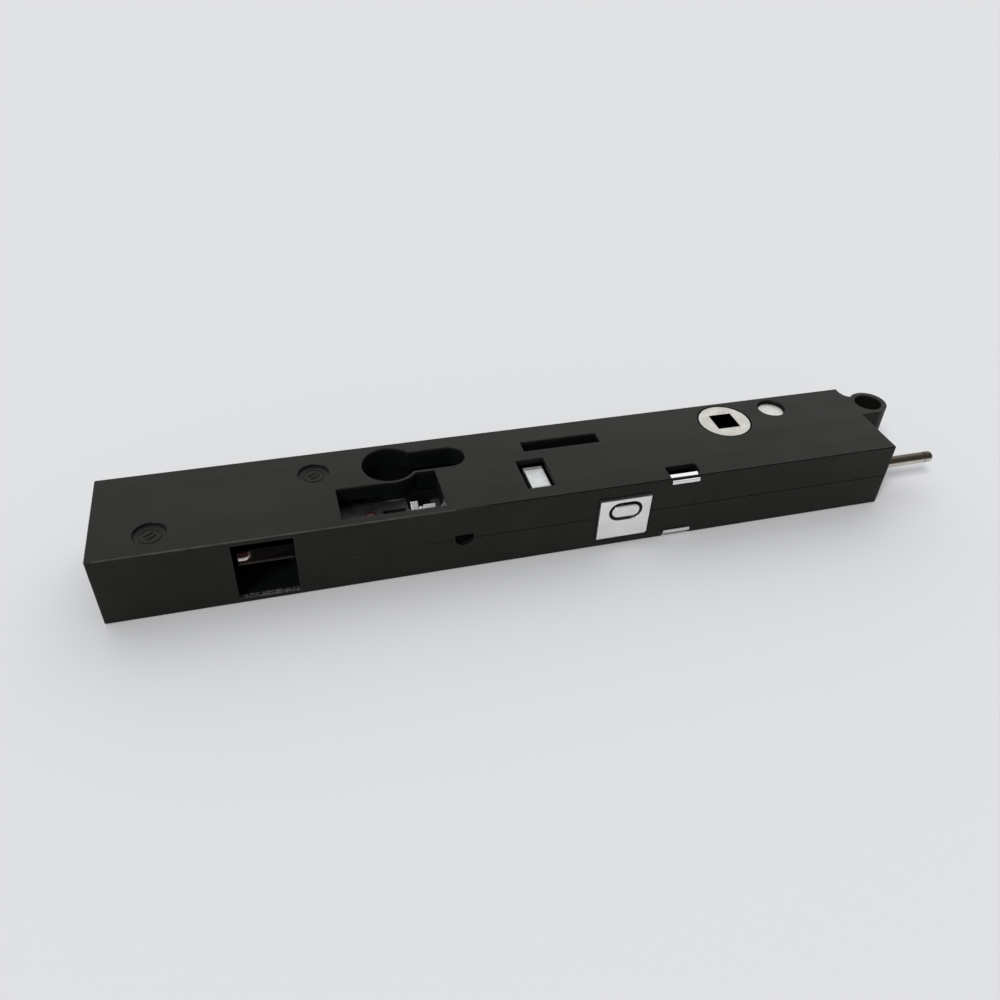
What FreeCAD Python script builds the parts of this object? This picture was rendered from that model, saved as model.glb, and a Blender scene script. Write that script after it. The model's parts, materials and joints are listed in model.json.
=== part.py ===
import FreeCAD, Part

import math
import os

# Mortise lock case with a hook bolt, a square follower and a connecting rod.
# The origin is on the cylinder hole's axis at the bottom face. +X runs along the case to the rod end,
# +Y runs from the front edge to the back, +Z runs up through the thickness. All sizes are millimetres.

V = FreeCAD.Vector
UP = V(0, 0, 1)
ALONG = V(1, 0, 0)
BACK = V(0, 1, 0)
TINY = 0.01

# Case
CASE_LENGTH = 262.0
CASE_DEPTH = 38.5
CASE_THICKNESS = 24.5
WALL = 2.0
BACKSET = 27.5
LEFT_END = -90.0
RIGHT_END = LEFT_END + CASE_LENGTH
FRONT = -BACKSET
REAR = FRONT + CASE_DEPTH
MIDDLE = CASE_THICKNESS / 2
CEILING = CASE_THICKNESS - WALL
FRONT_INSIDE = FRONT + WALL
REAR_INSIDE = REAR - WALL
CORNER_RADIUS = 0.6
EDGE_BREAK = 0.25
PARTING_BREAK = 0.24

# Euro-profile cylinder hole and the space its cam sweeps
CYLINDER_RADIUS = 8.75
CYLINDER_SLOT_END = 25.0
CYLINDER_SLOT_HALF = 5.1
COLLAR_WALL = 1.1
CAM_LOW = 6.75
CAM_HIGH = 17.75

# Follower (handle spindle hub) and its toothed sector
FOLLOWER_X = 120.0
FOLLOWER_RADIUS = 9.05
FOLLOWER_CLEARANCE = 0.05
SPINDLE_SQUARE = 8.1
FACE_INSET = 0.1
FOLLOWER_RIM_RADIUS = 9.65
FOLLOWER_RIM_DEPTH = 2.0
FOLLOWER_RING_WALL = 2.2
TOOTH_MODULE = 2.0
PINION_TEETH = 12
PRESSURE_ANGLE = math.radians(25)
ADDENDUM = 0.8 * TOOTH_MODULE
DEDENDUM = 1.0 * TOOTH_MODULE
TOOTH_ROOT_OVERLAP = 0.5
FLANK_STEPS = 6
SECTOR_TEETH = range(-4, 2)
BACKLASH = 0.25
PITCH_RADIUS = TOOTH_MODULE * PINION_TEETH / 2
GEAR_LOW = 8.0
GEAR_HIGH = 16.5
GEAR_GAP = 0.2

# Connecting rod
ROD_RADIUS = 2.0
ROD_Y = -20.95
ROD_START = 98.0
ROD_END = 195.2
ROD_CLEARANCE = 0.07
ROD_BOSS_LENGTH = 10.0
ROD_BOSS_WIDTH = 4.5
ROD_TIP_ROUND = 1.2
ROD_GROOVE_FROM_END = 3.6
ROD_GROOVE_WIDTH = 0.5
ROD_GROOVE_DEPTH = 0.25

# Round features of the case
RIVET_X = 141.0
RIVET_Y = 4.3
RIVET_RECESS_RADIUS = 4.9
RIVET_HEAD_RADIUS = 4.7
RIVET_HEAD_HEIGHT = 1.0
RIVET_SHANK_RADIUS = 3.0
RIVET_CHAMFER = 0.2
RIVET_RECESS_DEPTH = 1.35
RIVET_BOSS_RADIUS = 5.7
LUG_X = 178.75
LUG_RADIUS = 6.6
LUG_HOLE_RADIUS = 4.75
LUG_NECK_FRONT = -6.5
LUG_FILLET = 3.2
LUG_NECK_BACK = 0.72 * LUG_RADIUS

# Case screws from the underside: places in X and Y
SCREW_PLACES = [(-72.9, -18.3), (-24.1, 0.2), (95.0, 4.4)]
RECESS_PLACES = SCREW_PLACES[:2]
RECESS_RADIUS = 4.9
RECESS_DEPTH = 0.9
SCREW_BOSS_RADIUS = 4.0
SCREW_SHANK_RADIUS = 1.5
SCREW_HEAD_RADIUS = 3.2
SCREW_HEAD_HEIGHT = 2.2
SCREW_SINK = 3.0
SCREW_TIP = 19.5
SCREW_HEAD_ROUND = 0.7
SCREW_WELL_GAP = 0.4
CROSS_SIZE = (1.9, 0.5)
CROSS_DEPTH = 1.1
DOWEL_PLACES = [(-82.0, 4.0), (162.0, 3.5)]
DOWEL_RADIUS = 1.5
DOWEL_BOSS_RADIUS = 3.0
DOWEL_REACH = 6.0

# Openings in the walls, each as (X low, X high, Y low, Y high)
CAM_WINDOW = (-18.3, 13.8, -24.3, -9.5)
COUPLING_WINDOW = (40.6, 50.0, -22.0, -7.3)
FIXING_SLOT = (45.1, 71.9, -2.5, 2.5)
FIXING_SLOT_WALL = 1.2
CLIP_WINDOW = (87.6, 98.6, -25.4, -20.95)
BOLT_WINDOW_X = (-51.1, -32.9)
BOLT_WINDOW_Z = (2.0, 22.9)
SCREW_HOLE_X = 18.8
SCREW_HOLE_RADIUS = 3.05
SCREW_HOLE_LOW = 9.45
SCREW_HOLE_TOP = 14.05
WINDOW_SKIRT = 1.2
WINDOW_SKIRT_LOW = 19.3

# Ribs inside the shells: left sides and thicknesses
DRIVE_RIBS = [52.0, 82.0, 110.0, 152.0]
DRIVE_RIB_THICK = 4.0
LOCK_RIBS = [-16.0, 6.0]
LOCK_RIB_THICK = 3.0
FULL_PARTITIONS = [-62.0, 29.0]
SHORT_PARTITIONS = [-44.0, 40.0, 80.0]
SHORT_PARTITION_FRONT = 4.5
PARTITION_THICK = 1.6
RUNNING_GAP = 0.05

# Guide plate and trigger button on the front edge
PLATE_X = (63.2, 80.9)
PLATE_Z = (4.2, 19.9)
PLATE_THICKNESS = 1.4
PLATE_CORNER = 1.0
PLATE_FACE = FRONT - PLATE_THICKNESS
BUTTON_X = 72.2
BUTTON_Z = 15.1
BUTTON_LENGTH = 9.5
BUTTON_HEIGHT = 4.6
BUTTON_PROUD = 0.3
BUTTON_GUIDE_GAP = 0.1
RING_LENGTH = 11.6
RING_HEIGHT = 7.4
BUSH_SINK = 1.2
GUIDE_COLLAR_WALL = 0.9
GUIDE_COLLAR_BACK = FRONT + 2.6
FLANGE_MARGIN = 1.5
FLANGE_THICKNESS = 1.2
SPRING_WALL_FRONT = -20.6
SPRING_WALL_BACK = -19.75
SPRING_WALL_HALF = 6.5
TRIGGER_WIRE_RADIUS = 0.22
TRIGGER_COIL_RADIUS = 1.7
TRIGGER_TURNS = 3.0
TRIGGER_SPRING_GAP = 0.02
BUTTON_CHAMFER = 0.3
PLATE_CHAMFER = 0.15

# Hook bolt: it swings 90 degrees while its pivot moves LOCK_TRAVEL towards the left end
LOCK_TRAVEL = 10.0
HOOK_THICKNESS = 5.0
HOOK_LOW = MIDDLE - HOOK_THICKNESS / 2
HOOK_HIGH = MIDDLE + HOOK_THICKNESS / 2
HOOK_PIVOT_X = -25.8
HOOK_PIVOT_Y = -18.0
HOOK_REACH = 24.5
HOOK_HALF_WIDTH = 2.6
HOOK_BEAK_DEPTH = 5.3
HOOK_BEAK_LENGTH = 4.1
HOOK_LIP_LEVELS = (13.1, 14.15)
HOOK_LIP_ROUND = 1.9
HOOK_ARM_LOW = 8.9
HOOK_ARM_LOW_END = 5.8
HOOK_BACK_SLOPE = (3.4, 3.0)
HOOK_HUB_RADIUS = 4.4
HOOK_BUSH_RADIUS = 2.8
HOOK_PIN_RADIUS = 2.0
HOOK_PIN_CLEARANCE = 0.05
HOOK_PIN_RISE = 1.6
WASHER_GAP = 0.15
WASHER_RADIUS = 3.2
WASHER_THICKNESS = 0.8
GUIDE_PIN_RADIUS = 1.5
GUIDE_PIN_OFFSET = (-7.0, 5.0)
GUIDE_SLOT_HALF = GUIDE_PIN_RADIUS + 0.15
GUIDE_SLOT_WALL = 2.0
GUIDE_SLOT_STEPS = 12
GUIDE_BOSS_RADIUS = 3.4
GUIDE_BOSS_LOW = 17.15

# Lock slide and cam block
SLIDE_LOW = 7.0
SLIDE_HIGH = 9.6
SLIDE_FRONT = -23.5
SLIDE_BACK = -15.7
SLIDE_RIGHT = 14.0
SLIDE_LUG_RADIUS = 3.3
SLIDE_BAR_START = 2.0
DETENT_X = -18.5
DETENT_NOTCH_RADIUS = 1.3
CAM_BLOCK_LEFT = -12.0
CAM_BLOCK_FRONT = -22.5
CAM_BLOCK_BACK = -11.4
CAM_BLOCK_HIGH = 17.0
CAM_STEP_HEIGHT = 3.0
CAM_STEP_BACK = -17.6
CAM_STEP_LEFT = -12.0
CAM_PLATE_LEFT = -19.0
CAM_PLATE_BACK = -9.1
CAM_PLATE_CORNER_BACK = -6.6
CAM_PLATE_GAUGE = 0.55
CAM_SLOT = (-4.6, 2.6, -15.9, -13.9)
CAM_SLOT_DEPTH = 4.0
NOTCH_X = (3.6, 11.2)
NOTCH_DEPTH = 3.7
CAM_RIVET_PLACES = [(-8.6, -15.6), (12.0, -19.6)]
CAM_RIVET_RADIUS = 1.5
RIVET_DOME_RADIUS = 3.2
RIVET_DOME_DROP = 2.4
RIVET_DOME_EDGE = 1.95
SPRING_GAUGE = 0.35
TAB_GAUGE = 0.5
CAM_SPRING_X = (4.0, 12.2)
CAM_SPRING_WIDTH = 1.7
# Each tab as (X low, X high, rise)
CAM_SPRING_TABS = [(4.2, 6.5, 1.9), (6.9, 7.8, 0.6), (8.2, 12.0, 0.9)]

# Drive slide
BAR_FRONT = -17.2
BAR_BACK = -(PITCH_RADIUS + DEDENDUM)
BAR_LEFT = 43.4
RACK_FIRST = -5
RACK_LAST = 1
RACK_END_MARGIN = 3.2
ROD_BLOCK = (96.0, 108.0)
ROD_BLOCK_FRONT = -24.0
ROD_ROOM_LEFT = 90.0
HUB_ROOM_GAP = 0.4
NUT_WIDTH = 7.0
NUT_LENGTH = 3.2
COUPLING_BLOCK = (42.8, 49.4, -19.4, -7.9)
COUPLING_TOP = 22.2
COUPLING_ROOM = 0.8
COUPLING_SIDE_ROOM = 0.28
COUPLING_FOOT_Y = (-19.0, -9.6)
COUPLING_FOOT_HIGH = 11.0
COUPLING_FOOT_RIGHT = 62.0
COUPLING_CHAMFER = 0.5
COUPLING_RIM = 0.2
COUPLING_RIVET_TOP = 16.0
COUPLING_GROOVE = (-9.8, -9.4)
COUPLING_GROOVE_DEPTH = 0.5
COUPLING_RIVET_Y = [-16.8, -12.0]
DRIVE_TRAVEL = PITCH_RADIUS * math.pi / 2

# Leaf springs that hold the two slides
LEAF_GAP = 0.3
LEAF_GAUGE = 0.35
LEAF_HEIGHT = 2.0
LEAF_LENGTH = 14.0
LEAF_BUMP_RADIUS = 1.0
DRIVE_LEAF_GAUGE = 0.4
DRIVE_LEAF_MARGIN = 0.2
DRIVE_LEAF_X = (122.5, 126.5, 134.5, 150.0)

# Spring clip over the front wall
CLIP_X = (87.8, 97.5)
CLIP_GAUGE = 0.6
CLIP_SEAT_GAP = 0.05
CLIP_LIP_Y = FRONT - 0.32
CLIP_CREST_Y = FRONT + 2.2
CLIP_LEG_Y = FRONT + 2.6
# Distances of the bent arm's tip, shoulder, crest and bend from the top and the bottom face
CLIP_DROPS_TOP = (1.85, 1.05, 0.35, 0.85)
CLIP_DROPS_BOTTOM = (2.5, 1.7, 0.35, 0.85)
CLIP_NOTCH_X = (87.6, 97.75)


def box(x_range, y_range, z_range):
    """A box between the given limits."""
    size = [high - low for low, high in (x_range, y_range, z_range)]
    return Part.makeBox(*size, V(x_range[0], y_range[0], z_range[0]))


def post(x, y, radius, low, high):
    """An upright cylinder."""
    return Part.makeCylinder(radius, high - low, V(x, y, low), UP)


def obround(x, z, length, height, y_front, y_back):
    """A bar with round ends along X, running in Y."""
    radius = height / 2
    reach = length / 2 - radius
    shape = box((x - reach, x + reach), (y_front, y_back), (z - radius, z + radius))
    for side in (-1, 1):
        end = Part.makeCylinder(radius, y_back - y_front, V(x + side * reach, y_front, z), BACK)
        shape = shape.fuse(end)
    return shape.removeSplitter()


def join(shapes):
    """All the shapes as one solid."""
    whole = shapes[0].multiFuse(shapes[1:]) if len(shapes) > 1 else shapes[0]
    return whole.removeSplitter()


def cut(shape, tools):
    """The shape less every tool."""
    whole = tools[0].multiFuse(tools[1:]) if len(tools) > 1 else tools[0]
    return shape.cut(whole)


def prism(points, low, high):
    """An upright prism on a closed polygon of X, Y points."""
    corners = [V(x, y, low) for x, y in points]
    face = Part.Face(Part.makePolygon(corners + corners[:1]))
    return face.extrude(V(0, 0, high - low))


def cylinder_profile(radius, slot_half, slot_end, low, high):
    """The euro-profile outline: a circle with a narrower round-ended slot towards +X."""
    neck = box((0, slot_end - slot_half), (-slot_half, slot_half), (low, high))
    tail = post(slot_end - slot_half, 0, slot_half, low, high)
    return join([post(0, 0, radius, low, high), neck, tail])


# Shells -------------------------------------------------------------------------------------------

def lug_solid(low, high):
    """The fixing lug at the right end, with its neck and the hollow fillet behind it."""
    start = RIGHT_END - WALL
    neck = box((start, LUG_X), (LUG_NECK_FRONT, LUG_NECK_BACK), (low, high))
    web = box((start, RIGHT_END + LUG_FILLET), (0, LUG_NECK_BACK + LUG_FILLET), (low, high))
    hollow = post(RIGHT_END + LUG_FILLET, LUG_NECK_BACK + LUG_FILLET, LUG_FILLET, low - 1, high + 1)
    return join([post(LUG_X, 0, LUG_RADIUS, low, high), neck, web.cut(hollow)])


def case_block(low, high):
    """The solid outline of the case between two heights, with rounded upright edges and broken rims."""
    block = box((LEFT_END, RIGHT_END), (FRONT, REAR), (low, high))
    upright = [edge for edge in block.Edges if abs(edge.Vertexes[0].Z - edge.Vertexes[-1].Z) > 1]
    block = block.makeFillet(CORNER_RADIUS, upright)
    for level in (low, high):
        rim = [e for e in block.Edges if e.BoundBox.ZLength < 1e-3 and abs(e.BoundBox.ZMin - level) < 1e-3]
        block = block.makeChamfer(PARTING_BREAK if level == MIDDLE else EDGE_BREAK, rim)
    return block


def funnel(x, y, radius, level, outward):
    """A cone that breaks the rim of a round hole at a face level; outward is +1 for up, -1 for down."""
    over = 0.05
    start = level - outward * EDGE_BREAK
    direction = V(0, 0, outward)
    return Part.makeCone(radius, radius + EDGE_BREAK + over, EDGE_BREAK + over, V(x, y, start), direction)


def flare(x_range, y_range, level, outward):
    """A frustum that breaks the rim of a rectangular window at a face level."""
    over = 0.05
    wires = []
    for margin, z in ((0.0, level - outward * EDGE_BREAK), (EDGE_BREAK + over, level + outward * over)):
        low_x, high_x = x_range[0] - margin, x_range[1] + margin
        low_y, high_y = y_range[0] - margin, y_range[1] + margin
        corners = [V(low_x, low_y, z), V(high_x, low_y, z), V(high_x, high_y, z), V(low_x, high_y, z)]
        wires.append(Part.makePolygon(corners + corners[:1]))
    return Part.makeLoft(wires, True, True)


def follower_rim_gap(level, outward):
    """The wider mouth round the follower's face."""
    levels = sorted((level - outward * FOLLOWER_RIM_DEPTH, level + outward))
    return post(FOLLOWER_X, 0, FOLLOWER_RIM_RADIUS, *levels)


def rim_breaks(level, outward):
    """The broken rims of the openings that both shells share, at one of the two big faces."""
    tail_x = CYLINDER_SLOT_END - CYLINDER_SLOT_HALF
    return [
        funnel(0, 0, CYLINDER_RADIUS, level, outward),
        funnel(tail_x, 0, CYLINDER_SLOT_HALF, level, outward),
        flare((CYLINDER_RADIUS * 0.7, tail_x), (-CYLINDER_SLOT_HALF, CYLINDER_SLOT_HALF), level, outward),
        follower_rim_gap(level, outward),
        funnel(LUG_X, 0, LUG_HOLE_RADIUS, level, outward),
        funnel(RIVET_X, RIVET_Y, RIVET_RECESS_RADIUS, level, outward),
        flare(FIXING_SLOT[:2], FIXING_SLOT[2:], level, outward),
    ]


def cam_window_tool(low, high):
    """The window beside the cylinder hole; its back edge follows the cylinder collar."""
    left, right, front, back = CAM_WINDOW
    main = box((left, right), (front, back), (low, high))
    corner = box((0, right), (back - 1, -CYLINDER_SLOT_HALF - COLLAR_WALL), (low, high))
    collar = post(0, 0, CYLINDER_RADIUS + COLLAR_WALL, low - 1, high + 1)
    return main.fuse(corner).cut(collar)


def wall_window(window, low, high):
    """A rectangular window through a top or bottom wall."""
    return box(window[:2], window[2:], (low, high))


def front_screw_hole():
    """The D-shaped hole in the front wall: round below, flat above."""
    centre_z = SCREW_HOLE_LOW + SCREW_HOLE_RADIUS
    depth = WALL + 2
    circle = Part.makeCylinder(SCREW_HOLE_RADIUS, depth, V(SCREW_HOLE_X, FRONT - 1, centre_z), BACK)
    x_range = (SCREW_HOLE_X - SCREW_HOLE_RADIUS, SCREW_HOLE_X + SCREW_HOLE_RADIUS)
    upper = box(x_range, (FRONT - 1, FRONT - 1 + depth), (centre_z, SCREW_HOLE_TOP))
    above_x = (x_range[0] - 1, x_range[1] + 1)
    above = box(above_x, (FRONT - 2, FRONT + depth), (SCREW_HOLE_TOP, CASE_THICKNESS))
    return circle.fuse(upper).cut(above)


def clip_notch(top):
    """The sloping seat of the spring clip across the front edge of the top or the bottom wall."""
    shoulder, crest = clip_line(top)[1:3]
    side = 1 if top else -1
    slope = (crest[1] - shoulder[1]) / (crest[0] - shoulder[0])
    under = (CLIP_GAUGE / 2 + CLIP_SEAT_GAP) * math.hypot(1, slope)
    back = CLIP_WINDOW[2] + 0.5
    corners = []
    for y in (FRONT - 1, back):
        corners.append((y, shoulder[1] + slope * (y - shoulder[0]) - side * under))
    outer = CASE_THICKNESS + 1 if top else -1
    corners += [(back, outer), (FRONT - 1, outer)]
    return prism_x(corners, *CLIP_NOTCH_X)


def clip_line(top):
    """The clip's middle line in Y and Z: tip and shoulder of its lip, crest, and start of its leg."""
    drops = CLIP_DROPS_TOP if top else CLIP_DROPS_BOTTOM
    places = (CLIP_LIP_Y, CLIP_LIP_Y, CLIP_CREST_Y, CLIP_LEG_Y)
    return [(y, CASE_THICKNESS - drop if top else drop) for y, drop in zip(places, drops)]


def prism_x(points, left, right):
    """A prism along X on a closed polygon of Y, Z points."""
    corners = [V(left, y, z) for y, z in points]
    return Part.Face(Part.makePolygon(corners + corners[:1])).extrude(V(right - left, 0, 0))


def shell_openings():
    """Every opening that both shells share, as cutting tools over the whole thickness."""
    below = -1
    above = CASE_THICKNESS + 1
    hole_radius = FOLLOWER_RADIUS + FOLLOWER_CLEARANCE
    tools = [
        cylinder_profile(CYLINDER_RADIUS, CYLINDER_SLOT_HALF, CYLINDER_SLOT_END, below, above),
        post(FOLLOWER_X, 0, hole_radius, below, above),
        wall_window(FIXING_SLOT, below, above),
        post(LUG_X, 0, LUG_HOLE_RADIUS, below, above),
        post(RIVET_X, RIVET_Y, RIVET_SHANK_RADIUS, below, above),
        wall_window(CLIP_WINDOW, below, above),
        box(BOLT_WINDOW_X, (FRONT - 1, FRONT_INSIDE), BOLT_WINDOW_Z),
        front_screw_hole(),
        rod_hole(),
        guide_collar_hole(),
        post(*guide_pin_place(), GUIDE_PIN_RADIUS, WALL / 2, CASE_THICKNESS - WALL / 2),
    ]
    for x, y in DOWEL_PLACES:
        tools.append(post(x, y, DOWEL_RADIUS, MIDDLE - DOWEL_REACH, MIDDLE + DOWEL_REACH))
    for x, y in SCREW_PLACES:
        tools.append(post(x, y, SCREW_SHANK_RADIUS, below, SCREW_TIP))
    return tools


def rod_hole():
    """The round hole in the right end that the connecting rod slides in."""
    start = RIGHT_END - ROD_BOSS_LENGTH - 1
    length = RIGHT_END + 1 - start
    return Part.makeCylinder(ROD_RADIUS + ROD_CLEARANCE, length, V(start, ROD_Y, MIDDLE), ALONG)


def guide_collar_hole():
    """The oblong hole in the front wall that takes the guide plate's collar."""
    length = RING_LENGTH + 2 * GUIDE_COLLAR_WALL
    height = RING_HEIGHT + 2 * GUIDE_COLLAR_WALL
    return obround(BUTTON_X, BUTTON_Z, length, height, FRONT - 1, FRONT_INSIDE + 1)


def guide_pin_place():
    """Where the hook's fixed guide pin stands."""
    return HOOK_PIVOT_X + GUIDE_PIN_OFFSET[0], HOOK_PIVOT_Y + GUIDE_PIN_OFFSET[1]


def shell_posts(low, high):
    """Bosses round the screws, dowels, rivet and rod, between two heights."""
    posts = [post(x, y, SCREW_BOSS_RADIUS, low, high) for x, y in SCREW_PLACES]
    posts += [post(x, y, DOWEL_BOSS_RADIUS, low, high) for x, y in DOWEL_PLACES]
    posts.append(post(RIVET_X, RIVET_Y, RIVET_BOSS_RADIUS, low, high))
    rod_boss = box((RIGHT_END - ROD_BOSS_LENGTH, RIGHT_END - WALL), (FRONT_INSIDE, ROD_Y + ROD_BOSS_WIDTH),
                   (low, high))
    posts.append(rod_boss)
    return posts


def follower_ring(low, high):
    """The long bearing ring round the follower's journal, cut short where it meets the back wall."""
    ring = post(FOLLOWER_X, 0, FOLLOWER_RADIUS + FOLLOWER_RING_WALL, low, high)
    return ring.common(box((LEFT_END, RIGHT_END), (FRONT_INSIDE, REAR_INSIDE + WALL / 2), (low, high)))


def cam_window_skirt(high):
    """The thin wall that hangs from the back and left edges of the cam window."""
    left, right, front, back = CAM_WINDOW
    levels = (WINDOW_SKIRT_LOW, high)
    behind = box((left - WINDOW_SKIRT, 0), (back, back + WINDOW_SKIRT), levels)
    beside = box((left - WINDOW_SKIRT, left), (front, back + WINDOW_SKIRT), levels)
    past = box((right, right + WINDOW_SKIRT), (front, -CYLINDER_SLOT_HALF - COLLAR_WALL), levels)
    return [behind, beside, past]


def fixing_slot_wall(low, high):
    """The wall round the fixing slot."""
    left, right, front, back = FIXING_SLOT
    wall = FIXING_SLOT_WALL
    return box((left - wall, right + wall), (front - wall, back + wall), (low, high))


def guide_ribs(low, high):
    """Cross ribs that carry the drive slide, between two heights."""
    sides = (BAR_FRONT - 0.3, BAR_BACK + 1.5)
    return [box((x, x + DRIVE_RIB_THICK), sides, (low, high)) for x in DRIVE_RIBS]


def partition_ribs(low, high):
    """Thin cross walls that stiffen the case and part its chambers."""
    thick = PARTITION_THICK
    ribs = [box((x, x + thick), (FRONT_INSIDE, REAR_INSIDE), (low, high)) for x in FULL_PARTITIONS]
    ribs += [box((x, x + thick), (SHORT_PARTITION_FRONT, REAR_INSIDE), (low, high)) for x in SHORT_PARTITIONS]
    return ribs


def spring_wall(low, high):
    """The cross wall behind the trigger spring."""
    sides = (BUTTON_X - SPRING_WALL_HALF, BUTTON_X + SPRING_WALL_HALF)
    return box(sides, (SPRING_WALL_FRONT, SPRING_WALL_BACK), (low, high))


def lower_shell():
    """The lower moulded half: floor, walls, bosses, ribs and the lower half of the lug."""
    outer = case_block(0, MIDDLE)
    room = box((LEFT_END + WALL, RIGHT_END - WALL), (FRONT_INSIDE, REAR_INSIDE), (WALL, MIDDLE + 1))
    inner = shell_posts(WALL / 2, MIDDLE)
    inner.append(cylinder_profile(CYLINDER_RADIUS + COLLAR_WALL, CYLINDER_SLOT_HALF + COLLAR_WALL,
                                  CYLINDER_SLOT_END + COLLAR_WALL, WALL / 2, CAM_LOW))
    inner.append(follower_ring(WALL / 2, GEAR_LOW - GEAR_GAP))
    inner.append(fixing_slot_wall(WALL / 2, MIDDLE))
    inner.append(post(*guide_pin_place(), GUIDE_BOSS_RADIUS, WALL / 2, SLIDE_LOW - 0.2))
    inner.append(spring_wall(WALL / 2, MIDDLE))
    inner += guide_ribs(WALL / 2, GEAR_LOW - RUNNING_GAP)
    inner += partition_ribs(WALL / 2, MIDDLE)
    slide_rest = (WALL / 2, SLIDE_LOW - RUNNING_GAP)
    for x in LOCK_RIBS:
        inner.append(box((x, x + LOCK_RIB_THICK), (SLIDE_FRONT, SLIDE_BACK), slide_rest))
    shape = join([outer.cut(room), lug_solid(0, MIDDLE)] + inner)
    tools = shell_openings() + rim_breaks(0, -1)
    tools.append(clip_notch(False))
    tools.append(post(RIVET_X, RIVET_Y, RIVET_RECESS_RADIUS, -1, RIVET_RECESS_DEPTH + RIVET_HEAD_HEIGHT))
    for x, y in SCREW_PLACES:
        tools.append(post(x, y, SCREW_HEAD_RADIUS + SCREW_WELL_GAP, -1, SCREW_SINK))
    tools += drive_clear_space()
    return cut(shape, tools)


def drive_clear_space():
    """Room for the rod, its nut and block, and the rack over the whole travel."""
    levels = (GEAR_LOW - GEAR_GAP, GEAR_HIGH + GEAR_GAP)
    rod_room_x = (ROD_ROOM_LEFT, RIGHT_END - ROD_BOSS_LENGTH - 0.5)
    rod_room = box(rod_room_x, (FRONT_INSIDE, BAR_FRONT - 0.1), levels)
    hub_room = post(FOLLOWER_X, 0, FOLLOWER_RADIUS + HUB_ROOM_GAP, *levels)
    return [rod_room, hub_room]


def upper_shell():
    """The upper moulded half: top face with its windows and recesses, walls, bosses, ribs, lug half."""
    outer = case_block(MIDDLE, CASE_THICKNESS)
    room = box((LEFT_END + WALL, RIGHT_END - WALL), (FRONT_INSIDE, REAR_INSIDE), (MIDDLE - 1, CEILING))
    inner_top = CASE_THICKNESS - WALL / 2
    inner = shell_posts(MIDDLE, inner_top)
    inner.append(cylinder_profile(CYLINDER_RADIUS + COLLAR_WALL, CYLINDER_SLOT_HALF + COLLAR_WALL,
                                  CYLINDER_SLOT_END + COLLAR_WALL, CAM_HIGH, inner_top))
    inner.append(follower_ring(GEAR_HIGH + GEAR_GAP, inner_top))
    inner += cam_window_skirt(inner_top)
    inner.append(fixing_slot_wall(MIDDLE, inner_top))
    inner.append(post(*guide_pin_place(), GUIDE_BOSS_RADIUS, GUIDE_BOSS_LOW, inner_top))
    inner.append(spring_wall(MIDDLE, inner_top))
    inner += guide_ribs(GEAR_HIGH + RUNNING_GAP, inner_top)
    inner += partition_ribs(MIDDLE, inner_top)
    shape = join([outer.cut(room), lug_solid(MIDDLE, CASE_THICKNESS)] + inner)
    above = CASE_THICKNESS + 1
    tools = shell_openings() + rim_breaks(CASE_THICKNESS, 1)
    tools.append(cam_window_tool(WINDOW_SKIRT_LOW - 1, above))
    tools.append(wall_window(COUPLING_WINDOW, CEILING - 2, above))
    tools.append(flare(COUPLING_WINDOW[:2], COUPLING_WINDOW[2:], CASE_THICKNESS, 1))
    collar = post(0, 0, CYLINDER_RADIUS + COLLAR_WALL, CEILING, above)
    tools.append(flare(CAM_WINDOW[:2], CAM_WINDOW[2:], CASE_THICKNESS, 1).cut(collar))
    for x, y in RECESS_PLACES:
        tools.append(funnel(x, y, RECESS_RADIUS, CASE_THICKNESS, 1))
    tools.append(clip_notch(True))
    recess_floor = CASE_THICKNESS - RIVET_RECESS_DEPTH - RIVET_HEAD_HEIGHT
    tools.append(post(RIVET_X, RIVET_Y, RIVET_RECESS_RADIUS, recess_floor, above))
    for x, y in RECESS_PLACES:
        tools.append(post(x, y, RECESS_RADIUS, CASE_THICKNESS - RECESS_DEPTH, above))
    tools.append(coupling_path())
    tools += drive_clear_space()
    return cut(shape, tools)


def coupling_path():
    """Room above the drive slide for the coupling block over its travel."""
    left, right, front, back = COUPLING_BLOCK
    x_range = (left - COUPLING_ROOM, right + DRIVE_TRAVEL + COUPLING_ROOM)
    y_range = (front - COUPLING_SIDE_ROOM, back + COUPLING_SIDE_ROOM)
    return box(x_range, y_range, (GEAR_LOW, COUPLING_TOP + COUPLING_SIDE_ROOM))


# Follower and drive slide -------------------------------------------------------------------------

def involute_angle(radius):
    """Polar angle of the involute at a radius, measured from where it leaves the base circle."""
    base = PITCH_RADIUS * math.cos(PRESSURE_ANGLE)
    roll = math.acos(min(1.0, base / radius))
    return math.tan(roll) - roll


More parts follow.
